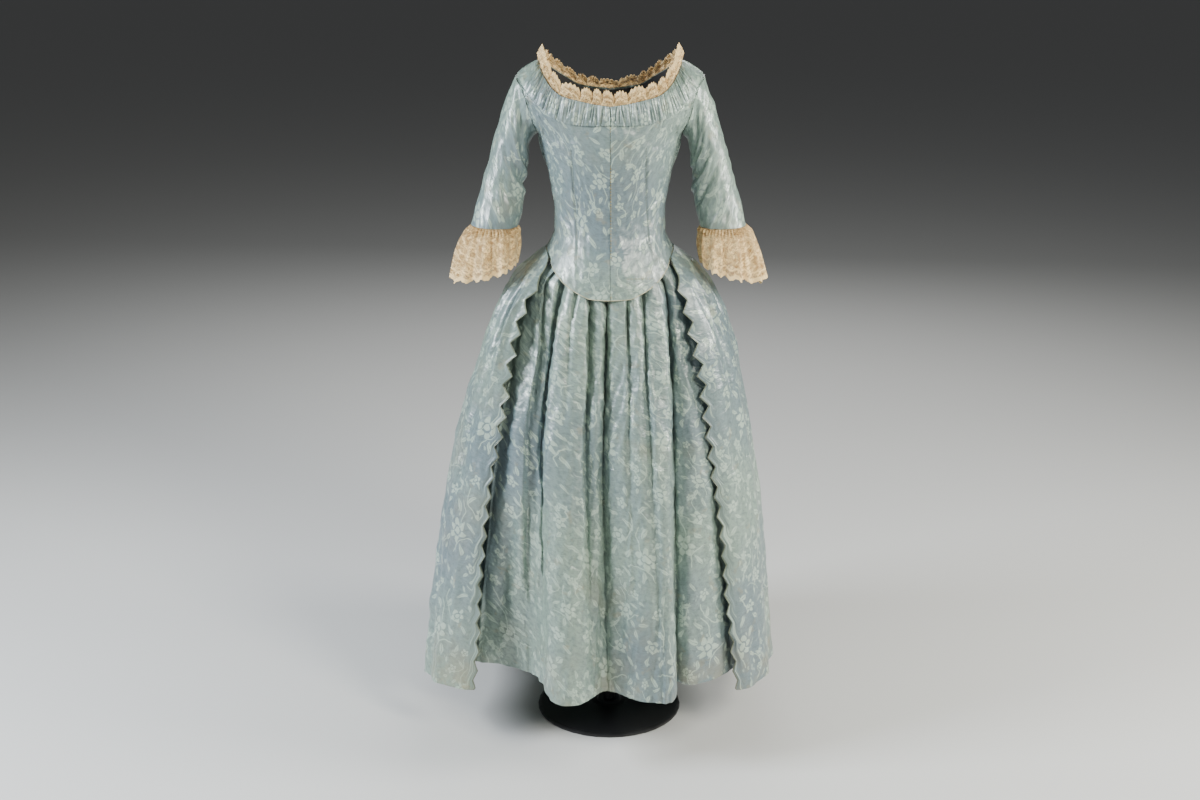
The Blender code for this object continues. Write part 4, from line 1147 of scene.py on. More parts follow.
@dataclass
class RobeSkirt(SidePart):
    """A skirt of the robe, open in front, with pinked teeth down its front edge.

    Attributes:
        sizes: Half widths, front edges, and the line of the widest point, by height.
        top: Height of the upper edge, from the front edge round to the back.
        tooth: Depth of the pinked teeth, by height.
        folds: Soft folds: place at the waist and at the hem, width, and depth at both.
        local: Single folds of the photograph: along, height, how far each reaches, and depth.
    """

    sizes: Table = Table(
        "z right left right_edge left_edge edge_y right_y left_y", (
            (0.12, 0.384, 0.349, 0.27, 0.253, -0.175, -0.085, 0.01),
            (0.225, 0.373, 0.337, 0.26, 0.241, -0.168, -0.07, 0.01),
            (0.33, 0.358, 0.328, 0.254, 0.228, -0.163, -0.055, 0.01),
            (0.433, 0.345, 0.318, 0.244, 0.219, -0.158, -0.04, 0.01),
            (0.545, 0.325, 0.301, 0.23, 0.202, -0.154, -0.02, 0.01),
            (0.612, 0.311, 0.289, 0.217, 0.192, -0.152, -0.01, 0.01),
            (0.691, 0.288, 0.274, 0.203, 0.182, -0.149, 0.0, 0.01),
            (0.775, 0.26, 0.258, 0.19, 0.17, -0.144, 0.005, 0.01),
            (0.833, 0.239, 0.242, 0.178, 0.156, -0.138, 0.01, 0.01),
            (0.887, 0.216, 0.22, 0.162, 0.143, -0.129, 0.01, 0.01),
            (0.929, 0.191, 0.195, 0.138, 0.131, -0.115, 0.01, 0.01),
            (0.966, 0.15, 0.156, 0.118, 0.121, -0.081, 0.008, 0.008),
            (0.986, 0.1245, 0.1245, 0.115, 0.117, -0.057, 0.005, 0.005),
        ))
    top: Table = Table("along z", ((0.0, 0.9640), (0.5, 0.9760), (1.0, 0.9862), (2.0, 0.9862)))
    tooth: Table = Table(
        "z depth", ((0.120, 0.0040), (0.500, 0.0050), (0.750, 0.0080), (0.900, 0.0070), (0.955, 0.0030)))
    folds: Table = Table(
        "waist hem width waist_out hem_out", (
            (0.45, 0.4, 0.16, 0.003, 0.01), (0.85, 0.78, 0.14, 0.006, 0.014),
            (1.2, 1.2, 0.14, 0.006, 0.018), (1.6, 1.6, 0.16, 0.004, 0.02),
        ))
    local: ClassVar[dict[Side, Table]] = {
        Side.RIGHT: Table("along height tall wide depth lean", (
            (0.22, 0.86, 0.09, 0.05, 0.0075, 0.45), (0.42, 0.87, 0.08, 0.035, -0.0090, 0.60),
            (0.62, 0.88, 0.08, 0.030, 0.0060, 0.70), (0.80, 0.86, 0.09, 0.030, -0.0060, 0.80),
            (0.30, 0.66, 0.14, 0.06, 0.0040, 0.30), (0.55, 0.60, 0.16, 0.05, -0.0050, 0.30),
            (0.35, 0.30, 0.16, 0.06, 0.0040, 0.10), (0.60, 0.28, 0.16, 0.05, -0.0040, 0.10),
        )),
        Side.LEFT: Table("along height tall wide depth lean", (
            (0.30, 0.92, 0.05, 0.05, -0.0050, 1.20), (0.46, 0.89, 0.06, 0.035, 0.0070, 1.10),
            (0.70, 0.90, 0.06, 0.035, -0.0070, 0.90), (0.36, 0.74, 0.10, 0.03, 0.0030, 0.40),
            (0.48, 0.73, 0.12, 0.03, -0.0036, 0.40), (0.40, 0.55, 0.16, 0.03, 0.0030, 0.30),
            (0.60, 0.50, 0.16, 0.04, -0.0040, 0.25), (0.42, 0.25, 0.14, 0.05, 0.0036, 0.12),
        )),
    }
    teeth: int = 21
    per_tooth: int = 10
    columns: int = 118

    def point(self, along: float, z: float) -> np.ndarray:
        """Give a point of the skirt.

        Args:
            along: 0 at its front edge, 1 at its widest, and 2 at the sack's edge.
            z: The height.

        Returns:
            The point.
        """
        word = self.side.word
        edge = np.array([self.sizes.at(word + "_edge", z), self.sizes.at("edge_y", z)])
        widest = np.array([self.sizes.at(word, z), self.sizes.at(word + "_y", z)])
        half = SACK.sizes.at("half_width", z)
        behind = np.array([half + ROBE_SEAM, SACK.depth(half, z)])
        x, y = quarter(edge, widest, along) if along <= 1.0 else quarter(widest, behind, along - 1.0, True)
        fall = (self.sizes.rows[-1][0] - z) / (self.sizes.rows[-1][0] - ROBE_HEM_Z)
        out = 0.0
        for waist, hem, width, waist_out, hem_out in self.folds.rows:
            place = waist + (hem - waist) * fall
            height = waist_out + (hem_out - waist_out) * fall
            out -= height * exp(-((along - place) / width) ** 2) * min(1.0, 12 * fall)
        for place, height, tall, wide, deep, lean in self.local[self.side].rows:
            gap = along - place - lean * (height - z)
            bump = exp(-(gap / wide) ** 2 - ((z - height) / tall) ** 2)
            out += 1.4 * deep * bump * min(1.0, 12 * fall)
        if along > 1.75:
            out *= (2.0 - along) / 0.25
        reach = hypot(x, y - PLAN_Y)
        return np.array([self.side.value * (x + out * x / reach), y + out * (y - PLAN_Y) / reach, z])

    def seam(self, along: float) -> np.ndarray:
        """Give a point of the line where the skirt is sewn to the bodice's lower edge.

        Args:
            along: 0 at its front edge and 1 at its widest.

        Returns:
            The point, just outside the bodice.
        """
        share = 0.875 + 0.125 * along
        z = TORSO.hem.at("z", share)
        x = share * TORSO.sizes.at("half_width", z)
        y = TORSO.depth(x, z, "front")
        reach = hypot(x, y - PLAN_Y)
        out = 0.0016 + 0.0024 * (1 - along)
        rise = 0.0040 * (1 - along) - 0.0006
        return np.array([self.side.value * (x + out * x / reach), y + out * (y - PLAN_Y) / reach, z + rise])

    def grid(self) -> ClothGrid:
        """Give the skirt's outside, from its top to its hem."""
        near = 14
        places = [0.12 * k / near for k in range(near)]
        rest = self.columns - near
        places += [0.12 + 1.88 * k / rest for k in range(rest + 1)]
        rows = self.teeth * self.per_tooth
        grid = []
        for row in range(rows + 1):
            line = []
            for along in places:
                top = self.top.at("z", along)
                z = top + (ROBE_HEM_Z - top) * row / rows
                place = self.point(along, z)
                near_seam = max(0.0, 1 - (top - z) / 0.034) ** 2 * min(1.0, max(0.0, (1.0 - along) / 0.2))
                if near_seam > 0.0:
                    place = place + near_seam * (self.seam(along) - self.point(along, top))
                line.append(place)
            inward = line[near] - line[0]
            inward /= np.linalg.norm(inward)
            phase = 2 * row / self.per_tooth
            wave = 1 - abs(phase % 2 - 1)
            shift = self.tooth.at("depth", line[0][2]) * (2 * wave - 1)
            if row in (0, rows):
                shift = 0.0
            for k in range(near):
                line[k] = line[k] + inward * shift * (1 - k / near)
            grid.append(line)
        made = ClothGrid(np.array(grid))
        return made.crumpled(21 + self.side.value, 0.0012, 0.055, stretch=1.4)

    def build(self) -> Piece:
        return sewn("robe_skirt_cloth_" + self.side.word, self.grid(), self.finish,
                    ["robe_skirt_" + self.side.word],
                    start=(0.03 * self.side.value, 0.0))


@dataclass
class SackBack:
    """The sack back, whose two double box pleats hang free from the neck to the hem.

    Attributes:
        finish: The silk.
        pleats: Half of the pleats, from the centre back outward: share of the half width, layers of cloth.
    """

    finish: Material
    pleats: Table = Table(
        "share layers", (
            (0.0, 0.0), (0.05, 0.1), (0.09, 1.9), (0.24, 2.2), (0.42, 2.0), (0.47, 1.0), (0.64, 1.2),
            (0.82, 1.0), (0.87, 0.1), (1.0, 0.0),
        ))
    per_half: int = 92
    rows: int = 120

    def grid(self) -> ClothGrid:
        """Give the sack's outside, from its hem to the neck."""
        half_shares = [k / self.per_half for k in range(self.per_half + 1)]
        shares = [-share for share in reversed(half_shares[1:])] + half_shares
        hem_z, top_half = SACK.sizes.rows[0][0], SACK.sizes.rows[-1][1]
        grid = []
        for row in range(self.rows + 1):
            rise = row / self.rows
            line = []
            for share in shares:
                neck = TORSO.back_neck.at("z", abs(share) * top_half)
                z = hem_z + (neck - hem_z) * rise
                x = share * SACK.sizes.at("half_width", z)
                loose = 0.4 * sin(9.0 * abs(share) + 2.0 * z) * (1 - rise) * (1 if share > 0 else -1)
                layers = self.pleats.at("layers", abs(share)) + loose * 4 * abs(share) * (1 - abs(share))
                line.append((x, SACK.depth(x, z) + layers * SACK.sizes.at("pleat", z), z))
            grid.append(line)
        made = ClothGrid(np.array(grid))
        soft = made.crumpled(9, 0.0015, 0.075, stretch=2.0).points
        share = np.linspace(0, 1, self.rows + 1)[:, None, None]
        return ClothGrid(made.points + np.minimum(1.0, 2.2 * (1 - share)) * (soft - made.points))

    def build(self) -> Piece:
        return sewn("sack_back_cloth", self.grid(), self.finish, ["sack_back"])


TINY = 1e-7
SUMS = {"*": "MULTIPLY", "+": "ADD", "-": "SUBTRACT", "/": "DIVIDE", "max": "MAXIMUM", "abs": "ABSOLUTE"}


class NodeSheet:
    """A node tree under construction, with short ways to add its nodes."""

    def __init__(self, tree: Tree) -> None:
        """Start on a tree.

        Args:
            tree: The tree to add nodes to.
        """
        self.tree = tree

    def add(self, kind: str, **settings: object) -> bpy.types.Node:
        """Add a node.

        Args:
            kind: Its type name.
            **settings: Its properties.

        Returns:
            The node.
        """
        node = self.tree.nodes.new(kind)
        for name, value in settings.items():
            setattr(node, name, value)
        return node

    def feed(self, socket: Socket, value: object) -> None:
        """Link an output to a socket, or set the socket's own value.

        Args:
            socket: The input.
            value: An output socket, or a plain value.
        """
        if isinstance(value, Socket):
            self.tree.links.new(value, socket)
        else:
            socket.default_value = value

    def made(self, kind: str, given: dict[int | str, object], out: int | str = 0,
             **settings: object) -> Socket:
        """Add a node with its inputs, and give one of its outputs.

        Args:
            kind: Its type name.
            given: What goes into its inputs, by name or number.
            out: The output's name or number.
            **settings: Its properties.

        Returns:
            The output.
        """
        node = self.add(kind, **settings)
        for name, value in given.items():
            self.feed(node.inputs[name], value)
        return node.outputs[out]

    def math(self, operation: str, *values: object, clamp: bool = False) -> Socket:
        """Give the answer of a sum of one, two or three values."""
        operation = SUMS.get(operation, operation)
        return self.made("ShaderNodeMath", dict(enumerate(values)), operation=operation, use_clamp=clamp)

    def vector(self, operation: str, *vectors: object) -> Socket:
        """Give the answer of a sum of one or two vectors, a vector or a length."""
        out = "Value" if operation == "LENGTH" else "Vector"
        return self.made("ShaderNodeVectorMath", dict(enumerate(vectors)), out, operation=operation)

    def scaled(self, vector: object, scale: object) -> Socket:
        """Give a vector times a number."""
        return self.made("ShaderNodeVectorMath", {0: vector, "Scale": scale}, "Vector", operation="SCALE")

    def ramp(self, value: object, low: object, high: object, to_low: float = 0.0,
             to_high: float = 1.0) -> Socket:
        """Give a smooth step from to_low, where the value is low, to to_high, where it is high."""
        given = {"Value": value, "From Min": low, "From Max": high, "To Min": to_low, "To Max": to_high}
        return self.made("ShaderNodeMapRange", given, "Result", interpolation_type="SMOOTHSTEP")

    def noise(self, place: object, scale: float, detail: float = 3.0, roughness: float = 0.5,
              distortion: float = 0.0, out: str = "Fac") -> Socket:
        """Give a smooth random value around 0.5, of a fineness, finer layers, their strength, and a swirl."""
        given = {"Vector": place, "Scale": scale, "Detail": detail, "Roughness": roughness,
                 "Distortion": distortion}
        return self.made("ShaderNodeTexNoise", given, out)

    def parts(self, vector: object) -> tuple[Socket, ...]:
        """Give a vector's X, Y and Z."""
        return tuple(self.made("ShaderNodeSeparateXYZ", {0: vector}).node.outputs)

    def joined(self, x: object, y: object) -> Socket:
        """Give the level vector of an X and a Y."""
        return self.made("ShaderNodeCombineXYZ", {0: x, 1: y})

    def turned(self, vector: object, angle: object) -> Socket:
        """Give a vector turned in the plane of the cloth by an angle in radians."""
        given = {"Vector": vector, "Angle": angle}
        return self.made("ShaderNodeVectorRotate", given, "Vector", rotation_type="Z_AXIS")

    def uv(self, name: str) -> Socket:
        """Give each place's coordinates on a map of the cloth."""
        return self.made("ShaderNodeUVMap", {}, "UV", uv_map=name)

    def relief(self, shader: bpy.types.Node, height: object, strength: float, distance: float) -> None:
        """Give a shader fine relief of a height, a strength and a depth in metres."""
        given = {"Strength": strength, "Distance": distance, "Height": height}
        self.feed(shader.inputs["Normal"], self.made("ShaderNodeBump", given, "Normal"))

    def local(self, given: bpy.types.NodeOutputs) -> Socket:
        """Give a place from a motif's centre, and wait for what lies under the motif.

        The motifs are so worked out one after another. All at once they need more room than a shader has.

        Args:
            given: The group's inputs.

        Returns:
            The place from the centre, off by far less than can be seen.
        """
        wait = self.joined(self.math("*", given["Under"], TINY), 0.0)
        return self.vector("ADD", self.vector("SUBTRACT", given["Place"], given["Centre"]), wait)

    def mixed(self, factor: object, first: object, second: object) -> Socket:
        """Give a mix of two colours.

        Args:
            factor: How much of the second.
            first: The first colour.
            second: The second colour.

        Returns:
            The colour.
        """
        node = self.add("ShaderNodeMix", data_type="RGBA")
        self.feed(node.inputs[0], factor)
        colours = [socket for socket in node.inputs if socket.type == "RGBA"]
        for socket, value in zip(colours, (first, second)):
            self.feed(socket, value if isinstance(value, Socket) else (*value, 1.0))
        return next(socket for socket in node.outputs if socket.type == "RGBA")

    def group(self, tree: Tree, **values: object) -> Socket:
        """Add a node group with its inputs by name, with _ for a space, and give its mask."""
        given = {name.replace("_", " "): value for name, value in values.items()}
        return self.made("ShaderNodeGroup", given, node_tree=tree)

    def finished(self, mask: object) -> Tree:
        """Give the finished group, whose output is a mask."""
        self.feed(self.add("NodeGroupOutput").inputs[0], mask)
        return self.tree


def new_group(name: str, *inputs: str) -> tuple[NodeSheet, bpy.types.NodeOutputs]:
    """Start a shader node group with one mask as its output.

    Args:
        name: The group's name.
        *inputs: Its inputs' names. Place and Centre are vectors, the others numbers.

    Returns:
        A sheet to add its nodes with, and the group's inputs.
    """
    tree = bpy.data.node_groups.new(name, "ShaderNodeTree")
    for label in inputs:
        kind = "NodeSocketVector" if label in ("Place", "Centre") else "NodeSocketFloat"
        tree.interface.new_socket(name=label, in_out="INPUT", socket_type=kind)
    tree.interface.new_socket(name="Mask", in_out="OUTPUT", socket_type="NodeSocketFloat")
    sheet = NodeSheet(tree)
    return sheet, sheet.add("NodeGroupInput").outputs


def new_finish(name: str) -> tuple[Material, NodeSheet, bpy.types.Node, Socket]:
    """Start a material.

    Args:
        name: Its name.

    Returns:
        The material, a sheet to add its nodes with, its shader, and each place on the object.
    """
    made = bpy.data.materials.new(name)
    made.use_nodes = True
    sheet = NodeSheet(made.node_tree)
    where = sheet.made("ShaderNodeTexCoord", {}, "Object")
    return made, sheet, made.node_tree.nodes["Principled BSDF"], where


@dataclass(frozen=True)
class Spray:
    """Flowers, leaves and stems that repeat over the cloth, in metres and radians.

    Attributes:
        width: Distance between two sprays side by side.
        height: Distance between two sprays one above the other.
        blooms: Place, radius, petals and turn of each flower head.
        leaves: Place of the middle, length, width and turn of each leaf.
        stems: Each stem's arc: its centre and radius, its middle's direction, and half its angle.
    """

    width: float = 0.135
    height: float = 0.190
    blooms: Table = Table(
        "x y Radius Petals Turn", (
            (0.004, 0.03, 0.0215, 6, 0.2), (-0.036, -0.012, 0.0135, 5, 0.7), (0.04, -0.03, 0.0125, 5, 1.4),
            (-0.01, -0.066, 0.011, 5, 2.2), (0.047, 0.064, 0.009, 5, 0.4),
        ))
    leaves: Table = Table(
        "x y Length Width Turn", (
            (0.03, 0.012, 0.026, 0.0095, -0.5), (-0.024, 0.018, 0.024, 0.0085, 2.5),
            (-0.014, 0.06, 0.026, 0.0085, 1.9), (0.026, 0.055, 0.022, 0.008, 0.9),
            (0.014, -0.014, 0.024, 0.009, -1.0), (-0.012, -0.03, 0.026, 0.009, -2.2),
            (0.048, -0.008, 0.02, 0.0075, 0.8), (-0.05, 0.012, 0.02, 0.007, 2.2),
            (0.024, -0.054, 0.024, 0.008, -0.4), (-0.038, -0.05, 0.024, 0.008, -2.7),
            (0.008, -0.086, 0.02, 0.007, -1.2), (-0.044, 0.048, 0.02, 0.007, 1.2),
            (0.055, 0.034, 0.018, 0.0065, 1.7), (-0.056, -0.034, 0.018, 0.0065, -1.4),
        ))
    stems: Table = Table(
        "x y Radius Turn Half_Angle", (
            (0.04, 0.0, 0.044, 2.9, 0.95), (-0.044, -0.044, 0.042, 0.6, 0.8),
            (0.052, -0.062, 0.034, 2.3, 0.75), (-0.03, 0.072, 0.034, -0.9, 0.85),
            (0.02, 0.084, 0.026, -0.2, 0.9),
        ))


SPRAY = Spray()


class Pattern:
    """Shader node groups that draw the woven flowers, the net of the lace, and stains."""

    def __init__(self) -> None:
        """Build the groups once."""
        self.bloom = self._bloom()
        self.leaf = self._leaf()
        self.stem = self._stem()
        self.spray = self._spray()
        self.damask = self._damask()
        self.stains = self._stains()
        self.net = self._net()

    @staticmethod
    def _bloom() -> Tree:
        """Flower head with a lobed edge, a ring round its heart, and lines between its petals."""
        sheet, given = new_group("Bloom", "Place", "Under", "Centre", "Radius", "Petals", "Turn")
        local = sheet.local(given)
        x, y, _ = sheet.parts(local)
        reach = sheet.math("/", sheet.vector("LENGTH", local), given["Radius"])
        angle = sheet.math("+", sheet.math("ARCTAN2", y, x), given["Turn"])
        lobes = sheet.math("COSINE", sheet.math("*", angle, given["Petals"]))
        edge = sheet.math("MULTIPLY_ADD", lobes, 0.17, 0.83)
        inside = sheet.ramp(sheet.math("-", edge, reach), 0.0, 0.10)
        ring = sheet.ramp(sheet.math("abs", sheet.math("-", reach, 0.36)), 0.05, 0.10)
        veins = sheet.ramp(lobes, -0.97, -0.80)
        heart = sheet.ramp(reach, 0.34, 0.28)
        petals = sheet.math("*", ring, sheet.math("max", veins, heart))
        return sheet.finished(sheet.math("max", given["Under"], sheet.math("*", inside, petals)))

    @staticmethod
    def _leaf() -> Tree:
        """Pointed leaf with a midrib."""
        sheet, given = new_group("Leaf", "Place", "Under", "Centre", "Length", "Width", "Turn")
        local = sheet.turned(sheet.local(given), sheet.math("*", given["Turn"], -1.0))
        x, y, _ = sheet.parts(local)
        along = sheet.math("/", sheet.math("*", x, 2.0), given["Length"])
        beside = sheet.math("/", sheet.math("*", sheet.math("abs", y), 2.0), given["Width"])
        outline = sheet.math("-", 1.0, sheet.math("POWER", sheet.math("abs", along), 1.8))
        inside = sheet.ramp(sheet.math("-", outline, beside), 0.0, 0.18)
        rib = sheet.ramp(beside, 0.06, 0.16)
        return sheet.finished(sheet.math("max", given["Under"], sheet.math("*", inside, rib)))

    @staticmethod
    def _stem() -> Tree:
        """Thin arc."""
        sheet, given = new_group("Stem", "Place", "Under", "Centre", "Radius", "Turn", "Half Angle")
        local = sheet.turned(sheet.local(given), sheet.math("*", given["Turn"], -1.0))
        x, y, _ = sheet.parts(local)
        angle = sheet.math("abs", sheet.math("ARCTAN2", y, x))
        gap = sheet.math("abs", sheet.math("-", sheet.vector("LENGTH", local), given["Radius"]))
        line = sheet.ramp(gap, 0.0012, 0.0006)
        reach = sheet.ramp(sheet.math("-", given["Half Angle"], angle), 0.0, 0.05)
        return sheet.finished(sheet.math("max", given["Under"], sheet.math("*", line, reach)))

    def _spray(self) -> Tree:
        """Every stem, leaf and flower of one spray."""
        sheet, given = new_group("Spray", "Place", "Under")
        mask = given["Under"]
        for motif, table in ((self.stem, SPRAY.stems), (self.leaf, SPRAY.leaves), (self.bloom, SPRAY.blooms)):
            for x, y, *sizes in table.rows:
                named = dict(zip(table.names.split()[2:], sizes))
                mask = sheet.group(motif, Place=given["Place"], Under=mask, Centre=(x, y, 0.0), **named)
        return sheet.finished(mask)

    def _damask(self) -> Tree:
        """Sprays over the whole cloth, every second row of them half a step lower and turned over."""
        sheet, given = new_group("Damask", "Place", "Scale")
        wobble = sheet.noise(given["Place"], 55.0, 1.5, out="Color")
        shift = sheet.scaled(sheet.vector("SUBTRACT", wobble, (0.5, 0.5, 0.5)), 0.0075)
        place = sheet.vector("ADD", sheet.scaled(given["Place"], given["Scale"]), shift)
        x, y, _ = sheet.parts(place)
        mask = 0.0
        for offset_x, offset_y in ((0.0, 0.0), (0.5, 0.5)):
            after = sheet.math("*", mask, TINY)
            cell_x = sheet.math("+", sheet.math("/", sheet.math("+", x, after), SPRAY.width), offset_x)
            cell_y = sheet.math("+", sheet.math("/", sheet.math("+", y, after), SPRAY.height), offset_y)
            odd = sheet.math("MODULO", sheet.math("abs", sheet.math("FLOOR", cell_x)), 2.0)
            mirror = sheet.math("-", 1.0, sheet.math("*", odd, 2.0))
            if offset_x:
                mirror = sheet.math("*", mirror, -1.0)
            local_x = sheet.math("*", sheet.math("-", sheet.math("FRACT", cell_x), 0.5), SPRAY.width)
            local_y = sheet.math("*", sheet.math("-", sheet.math("FRACT", cell_y), 0.5), SPRAY.height)
            local = sheet.joined(sheet.math("*", local_x, mirror), local_y)
            size = 1.45 if offset_x else 1.0
            mask = sheet.group(self.spray, Place=sheet.scaled(local, size), Under=mask)
        return sheet.finished(mask)

    @staticmethod
    def _stains() -> Tree:
        """Faint brown blots, more of them near the hem."""
        sheet, given = new_group("Stains", "Place", "Hem Z")
        _, _, z = sheet.parts(given["Place"])
        low = sheet.ramp(sheet.math("-", z, given["Hem Z"]), 0.13, -0.05)
        wide = sheet.ramp(sheet.noise(given["Place"], 5.5, 4.0, 0.62, 0.6), 0.56, 0.74)
        spots = sheet.ramp(sheet.noise(given["Place"], 34.0, 3.0, 0.55, 0.3), 0.62, 0.71)
        hem = sheet.math("*", low, sheet.ramp(sheet.noise(given["Place"], 14.0, 4.0, 0.6), 0.42, 0.66))
        total = sheet.math("+", sheet.math("*", wide, 0.30), sheet.math("*", spots, 0.38))
        return sheet.finished(sheet.math("+", total, sheet.math("*", hem, 0.65), clamp=True))

    @staticmethod
    def _net() -> Tree:
        """Threads of a fine net, as cells with thin edges."""
        sheet, given = new_group("Net", "Place", "Cell")
        cells = {"Vector": given["Place"], "Scale": sheet.math("/", 1.0, given["Cell"]), "Randomness": 0.35}
        gap = sheet.made("ShaderNodeTexVoronoi", cells, "Distance", feature="DISTANCE_TO_EDGE",
                         voronoi_dimensions="2D")
        return sheet.finished(sheet.ramp(gap, 0.16, 0.07))


@dataclass(frozen=True)
class SilkDamask:
    """Pale blue-green silk with tone-on-tone flowers, a soft sheen and faint stains.

    Attributes:
        ground: Colour of the ground.
        cool: Colour of the ground where it has turned bluer.
        motif: Colour of the flowers.
        edge: Colour of the dark line along the pinked edges, partly the edges' own darker colour and partly
            painted shadow.
        ground_rough: Roughness of the ground.
        motif_rough: Roughness of the flowers.
    """

    ground: Triple = (0.205, 0.283, 0.232)
    cool: Triple = (0.118, 0.170, 0.192)
    motif: Triple = (0.430, 0.540, 0.445)
    stain: Triple = (0.275, 0.235, 0.130)
    edge: Triple = (0.115, 0.125, 0.070)
    ground_rough: float = 0.36
    motif_rough: float = 0.26
    hem_z: float = 0.16
    pattern_scale: float = 0.86

    def make(self, name: str, pattern: Pattern, pinked: bool = False) -> Material:
        """Make the material.

        Args:
            name: Its name.
            pattern: The shared node groups.
            pinked: Whether a dark line runs along the cloth's front edge, partly the edge's own darker colour
                and partly painted shadow of the pinked teeth.

        Returns:
            The material.
        """
        made, sheet, shader, where = new_finish(name)
        cloth = sheet.uv("Cloth")
        mask = sheet.group(pattern.damask, Place=cloth, Scale=self.pattern_scale)
        small = sheet.vector("MULTIPLY", cloth, (95.0, 60.0, 1.0))
        leaf = sheet.made("ShaderNodeTexVoronoi", {"Scale": 1.0, "Vector": small}, "Distance")
        leaf = sheet.ramp(leaf, 0.30, 0.20)
        bunch = sheet.ramp(sheet.noise(cloth, 13.0, 2.0), 0.48, 0.58)
        mask = sheet.math("max", mask, sheet.math("*", sheet.math("*", leaf, bunch), 0.62))
        stain = sheet.group(pattern.stains, Place=where, Hem_Z=self.hem_z)
        tone = sheet.noise(where, 3.2, 2.0)
        ground = sheet.mixed(sheet.ramp(tone, 0.36, 0.64), self.ground, self.cool)
        mottle = sheet.noise(cloth, 120.0, 4.0, 0.65)
        dark = tuple(0.62 * c for c in self.cool)
        ground = sheet.mixed(sheet.ramp(mottle, 0.42, 0.66, 0.0, 0.55), ground, dark)
        slubs = sheet.noise(sheet.vector("MULTIPLY", cloth, (60.0, 900.0, 1.0)), 1.0, 2.0)
        woven = sheet.mixed(sheet.math("*", mask, 0.72), ground, self.motif)
        woven = sheet.mixed(sheet.ramp(slubs, 0.30, 0.75, 0.0, 0.10), woven, (0.62, 0.70, 0.64))
        coloured = sheet.mixed(sheet.math("*", stain, 0.75), woven, self.stain)
        if pinked:
            # The dark line along the pinked front edge is partly the edge's own darker colour and partly
            # painted shadow.
            run = sheet.parts(sheet.uv("Edge"))[0]
            line = sheet.ramp(run, 0.0034, 0.0014, 0.0, 0.85)
            coloured = sheet.mixed(line, coloured, self.edge)
        sheet.feed(shader.inputs["Base Color"], coloured)
        rough = sheet.math("+", self.ground_rough,
                           sheet.math("*", mask, self.motif_rough - self.ground_rough))
        sheet.feed(shader.inputs["Roughness"], sheet.math("+", rough, sheet.math("*", stain, 0.12)))
        for label, value in (("Sheen Weight", 0.10), ("Sheen Roughness", 0.35),
                             ("Sheen Tint", (0.80, 0.95, 0.86, 1.0)), ("Specular IOR Level", 0.85)):
            shader.inputs[label].default_value = value
        crumple = sheet.noise(sheet.vector("MULTIPLY", cloth, (38.0, 62.0, 1.0)), 1.0, 3.5, 0.55, 0.6)
        sheet.relief(shader, sheet.math("+", crumple, sheet.math("*", slubs, 0.06)), 0.75, 0.0028)
        return made


@dataclass(frozen=True)
class Lace:
    """Aged cream lace: solid flowers and a dense border on a fine open net."""

    thread: Triple = (0.950, 0.690, 0.340)
    shade: Triple = (0.420, 0.225, 0.070)
    border: float = 0.010
    open_alpha: float = 0.30
    pattern_scale: float = 1.9
    cell: float = 0.0028

    def make(self, name: str, pattern: Pattern) -> Material:
        """Make the material.

        Args:
            name: Its name.
            pattern: The shared node groups.

        Returns:
            The material.
        """
        made, sheet, shader, where = new_finish(name)
        cloth = sheet.uv("Cloth")
        fall = sheet.parts(sheet.uv("Edge"))[1]
        flowers = sheet.group(pattern.damask, Place=cloth, Scale=self.pattern_scale)
        border = sheet.ramp(fall, self.border, self.border * 0.7)
        row = sheet.ramp(sheet.math("abs", sheet.math("-", fall, 1.9 * self.border)), 0.0022, 0.0012)
        solid = sheet.math("max", flowers, sheet.math("max", border, row))
        net = sheet.group(pattern.net, Place=cloth, Cell=self.cell)
        threads = sheet.math("max", solid, net)
        tone = sheet.noise(where, 140.0, 3.0, 0.6)
        light = sheet.mixed(sheet.ramp(tone, 0.30, 0.75), self.thread, self.shade)
        speckled = sheet.mixed(sheet.math("*", solid, 0.70), light, self.thread)
        sheet.feed(shader.inputs["Base Color"], speckled)
        open_net = sheet.math("MULTIPLY_ADD", threads, 1.0 - self.open_alpha, self.open_alpha)
        sheet.feed(shader.inputs["Alpha"], open_net)
        shader.inputs["Roughness"].default_value = 0.85
        shader.inputs["Sheen Weight"].default_value = 0.25
        sheet.relief(shader, net, 0.6, 0.0006)
        return made


@dataclass(frozen=True)
class PlainFinish:
    """A finish of one colour with soft clouds of a second one, and a fine grain.

    Attributes:
        colour: The colour.
        second: The clouds' colour.
        cloud: Fineness, detail and strength of the clouds.
        blend: Where a cloud starts and is full, and how much of the second colour it has there.
        rough: Roughness outside a cloud and in it.
        sheen: Its sheen, as of short hairs.
        metallic: How metallic it is.
        grain: Fineness of the grain along each axis.
        grain_detail: How many finer layers the grain has.
        relief: Strength of the grain, and its height in metres.
    """

    colour: Triple
    second: Triple
    cloud: Triple
    blend: Triple
    rough: tuple[float, float]
    relief: tuple[float, float]
    grain: Triple
    grain_detail: float = 1.0
    sheen: float = 0.0
    metallic: float = 0.0

    def make(self, name: str) -> Material:
        """Make the material.

        Args:
            name: Its name.

        Returns:
            The material.
        """
        made, sheet, shader, where = new_finish(name)
        grain = sheet.noise(sheet.vector("MULTIPLY", where, self.grain), 1.0, self.grain_detail)
        cloud = sheet.noise(where, *self.cloud)
        low, high, most = self.blend
        mixed = sheet.mixed(sheet.ramp(cloud, low, high, 0.0, most), self.colour, self.second)
        sheet.feed(shader.inputs["Base Color"], mixed)
        plain, worn = self.rough
        rough = plain if plain == worn else sheet.ramp(cloud, 0.2, 0.8, plain, worn)
        sheet.feed(shader.inputs["Roughness"], rough)
        shader.inputs["Sheen Weight"].default_value = self.sheen
        shader.inputs["Metallic"].default_value = self.metallic
        sheet.relief(shader, grain, *self.relief)
        return made


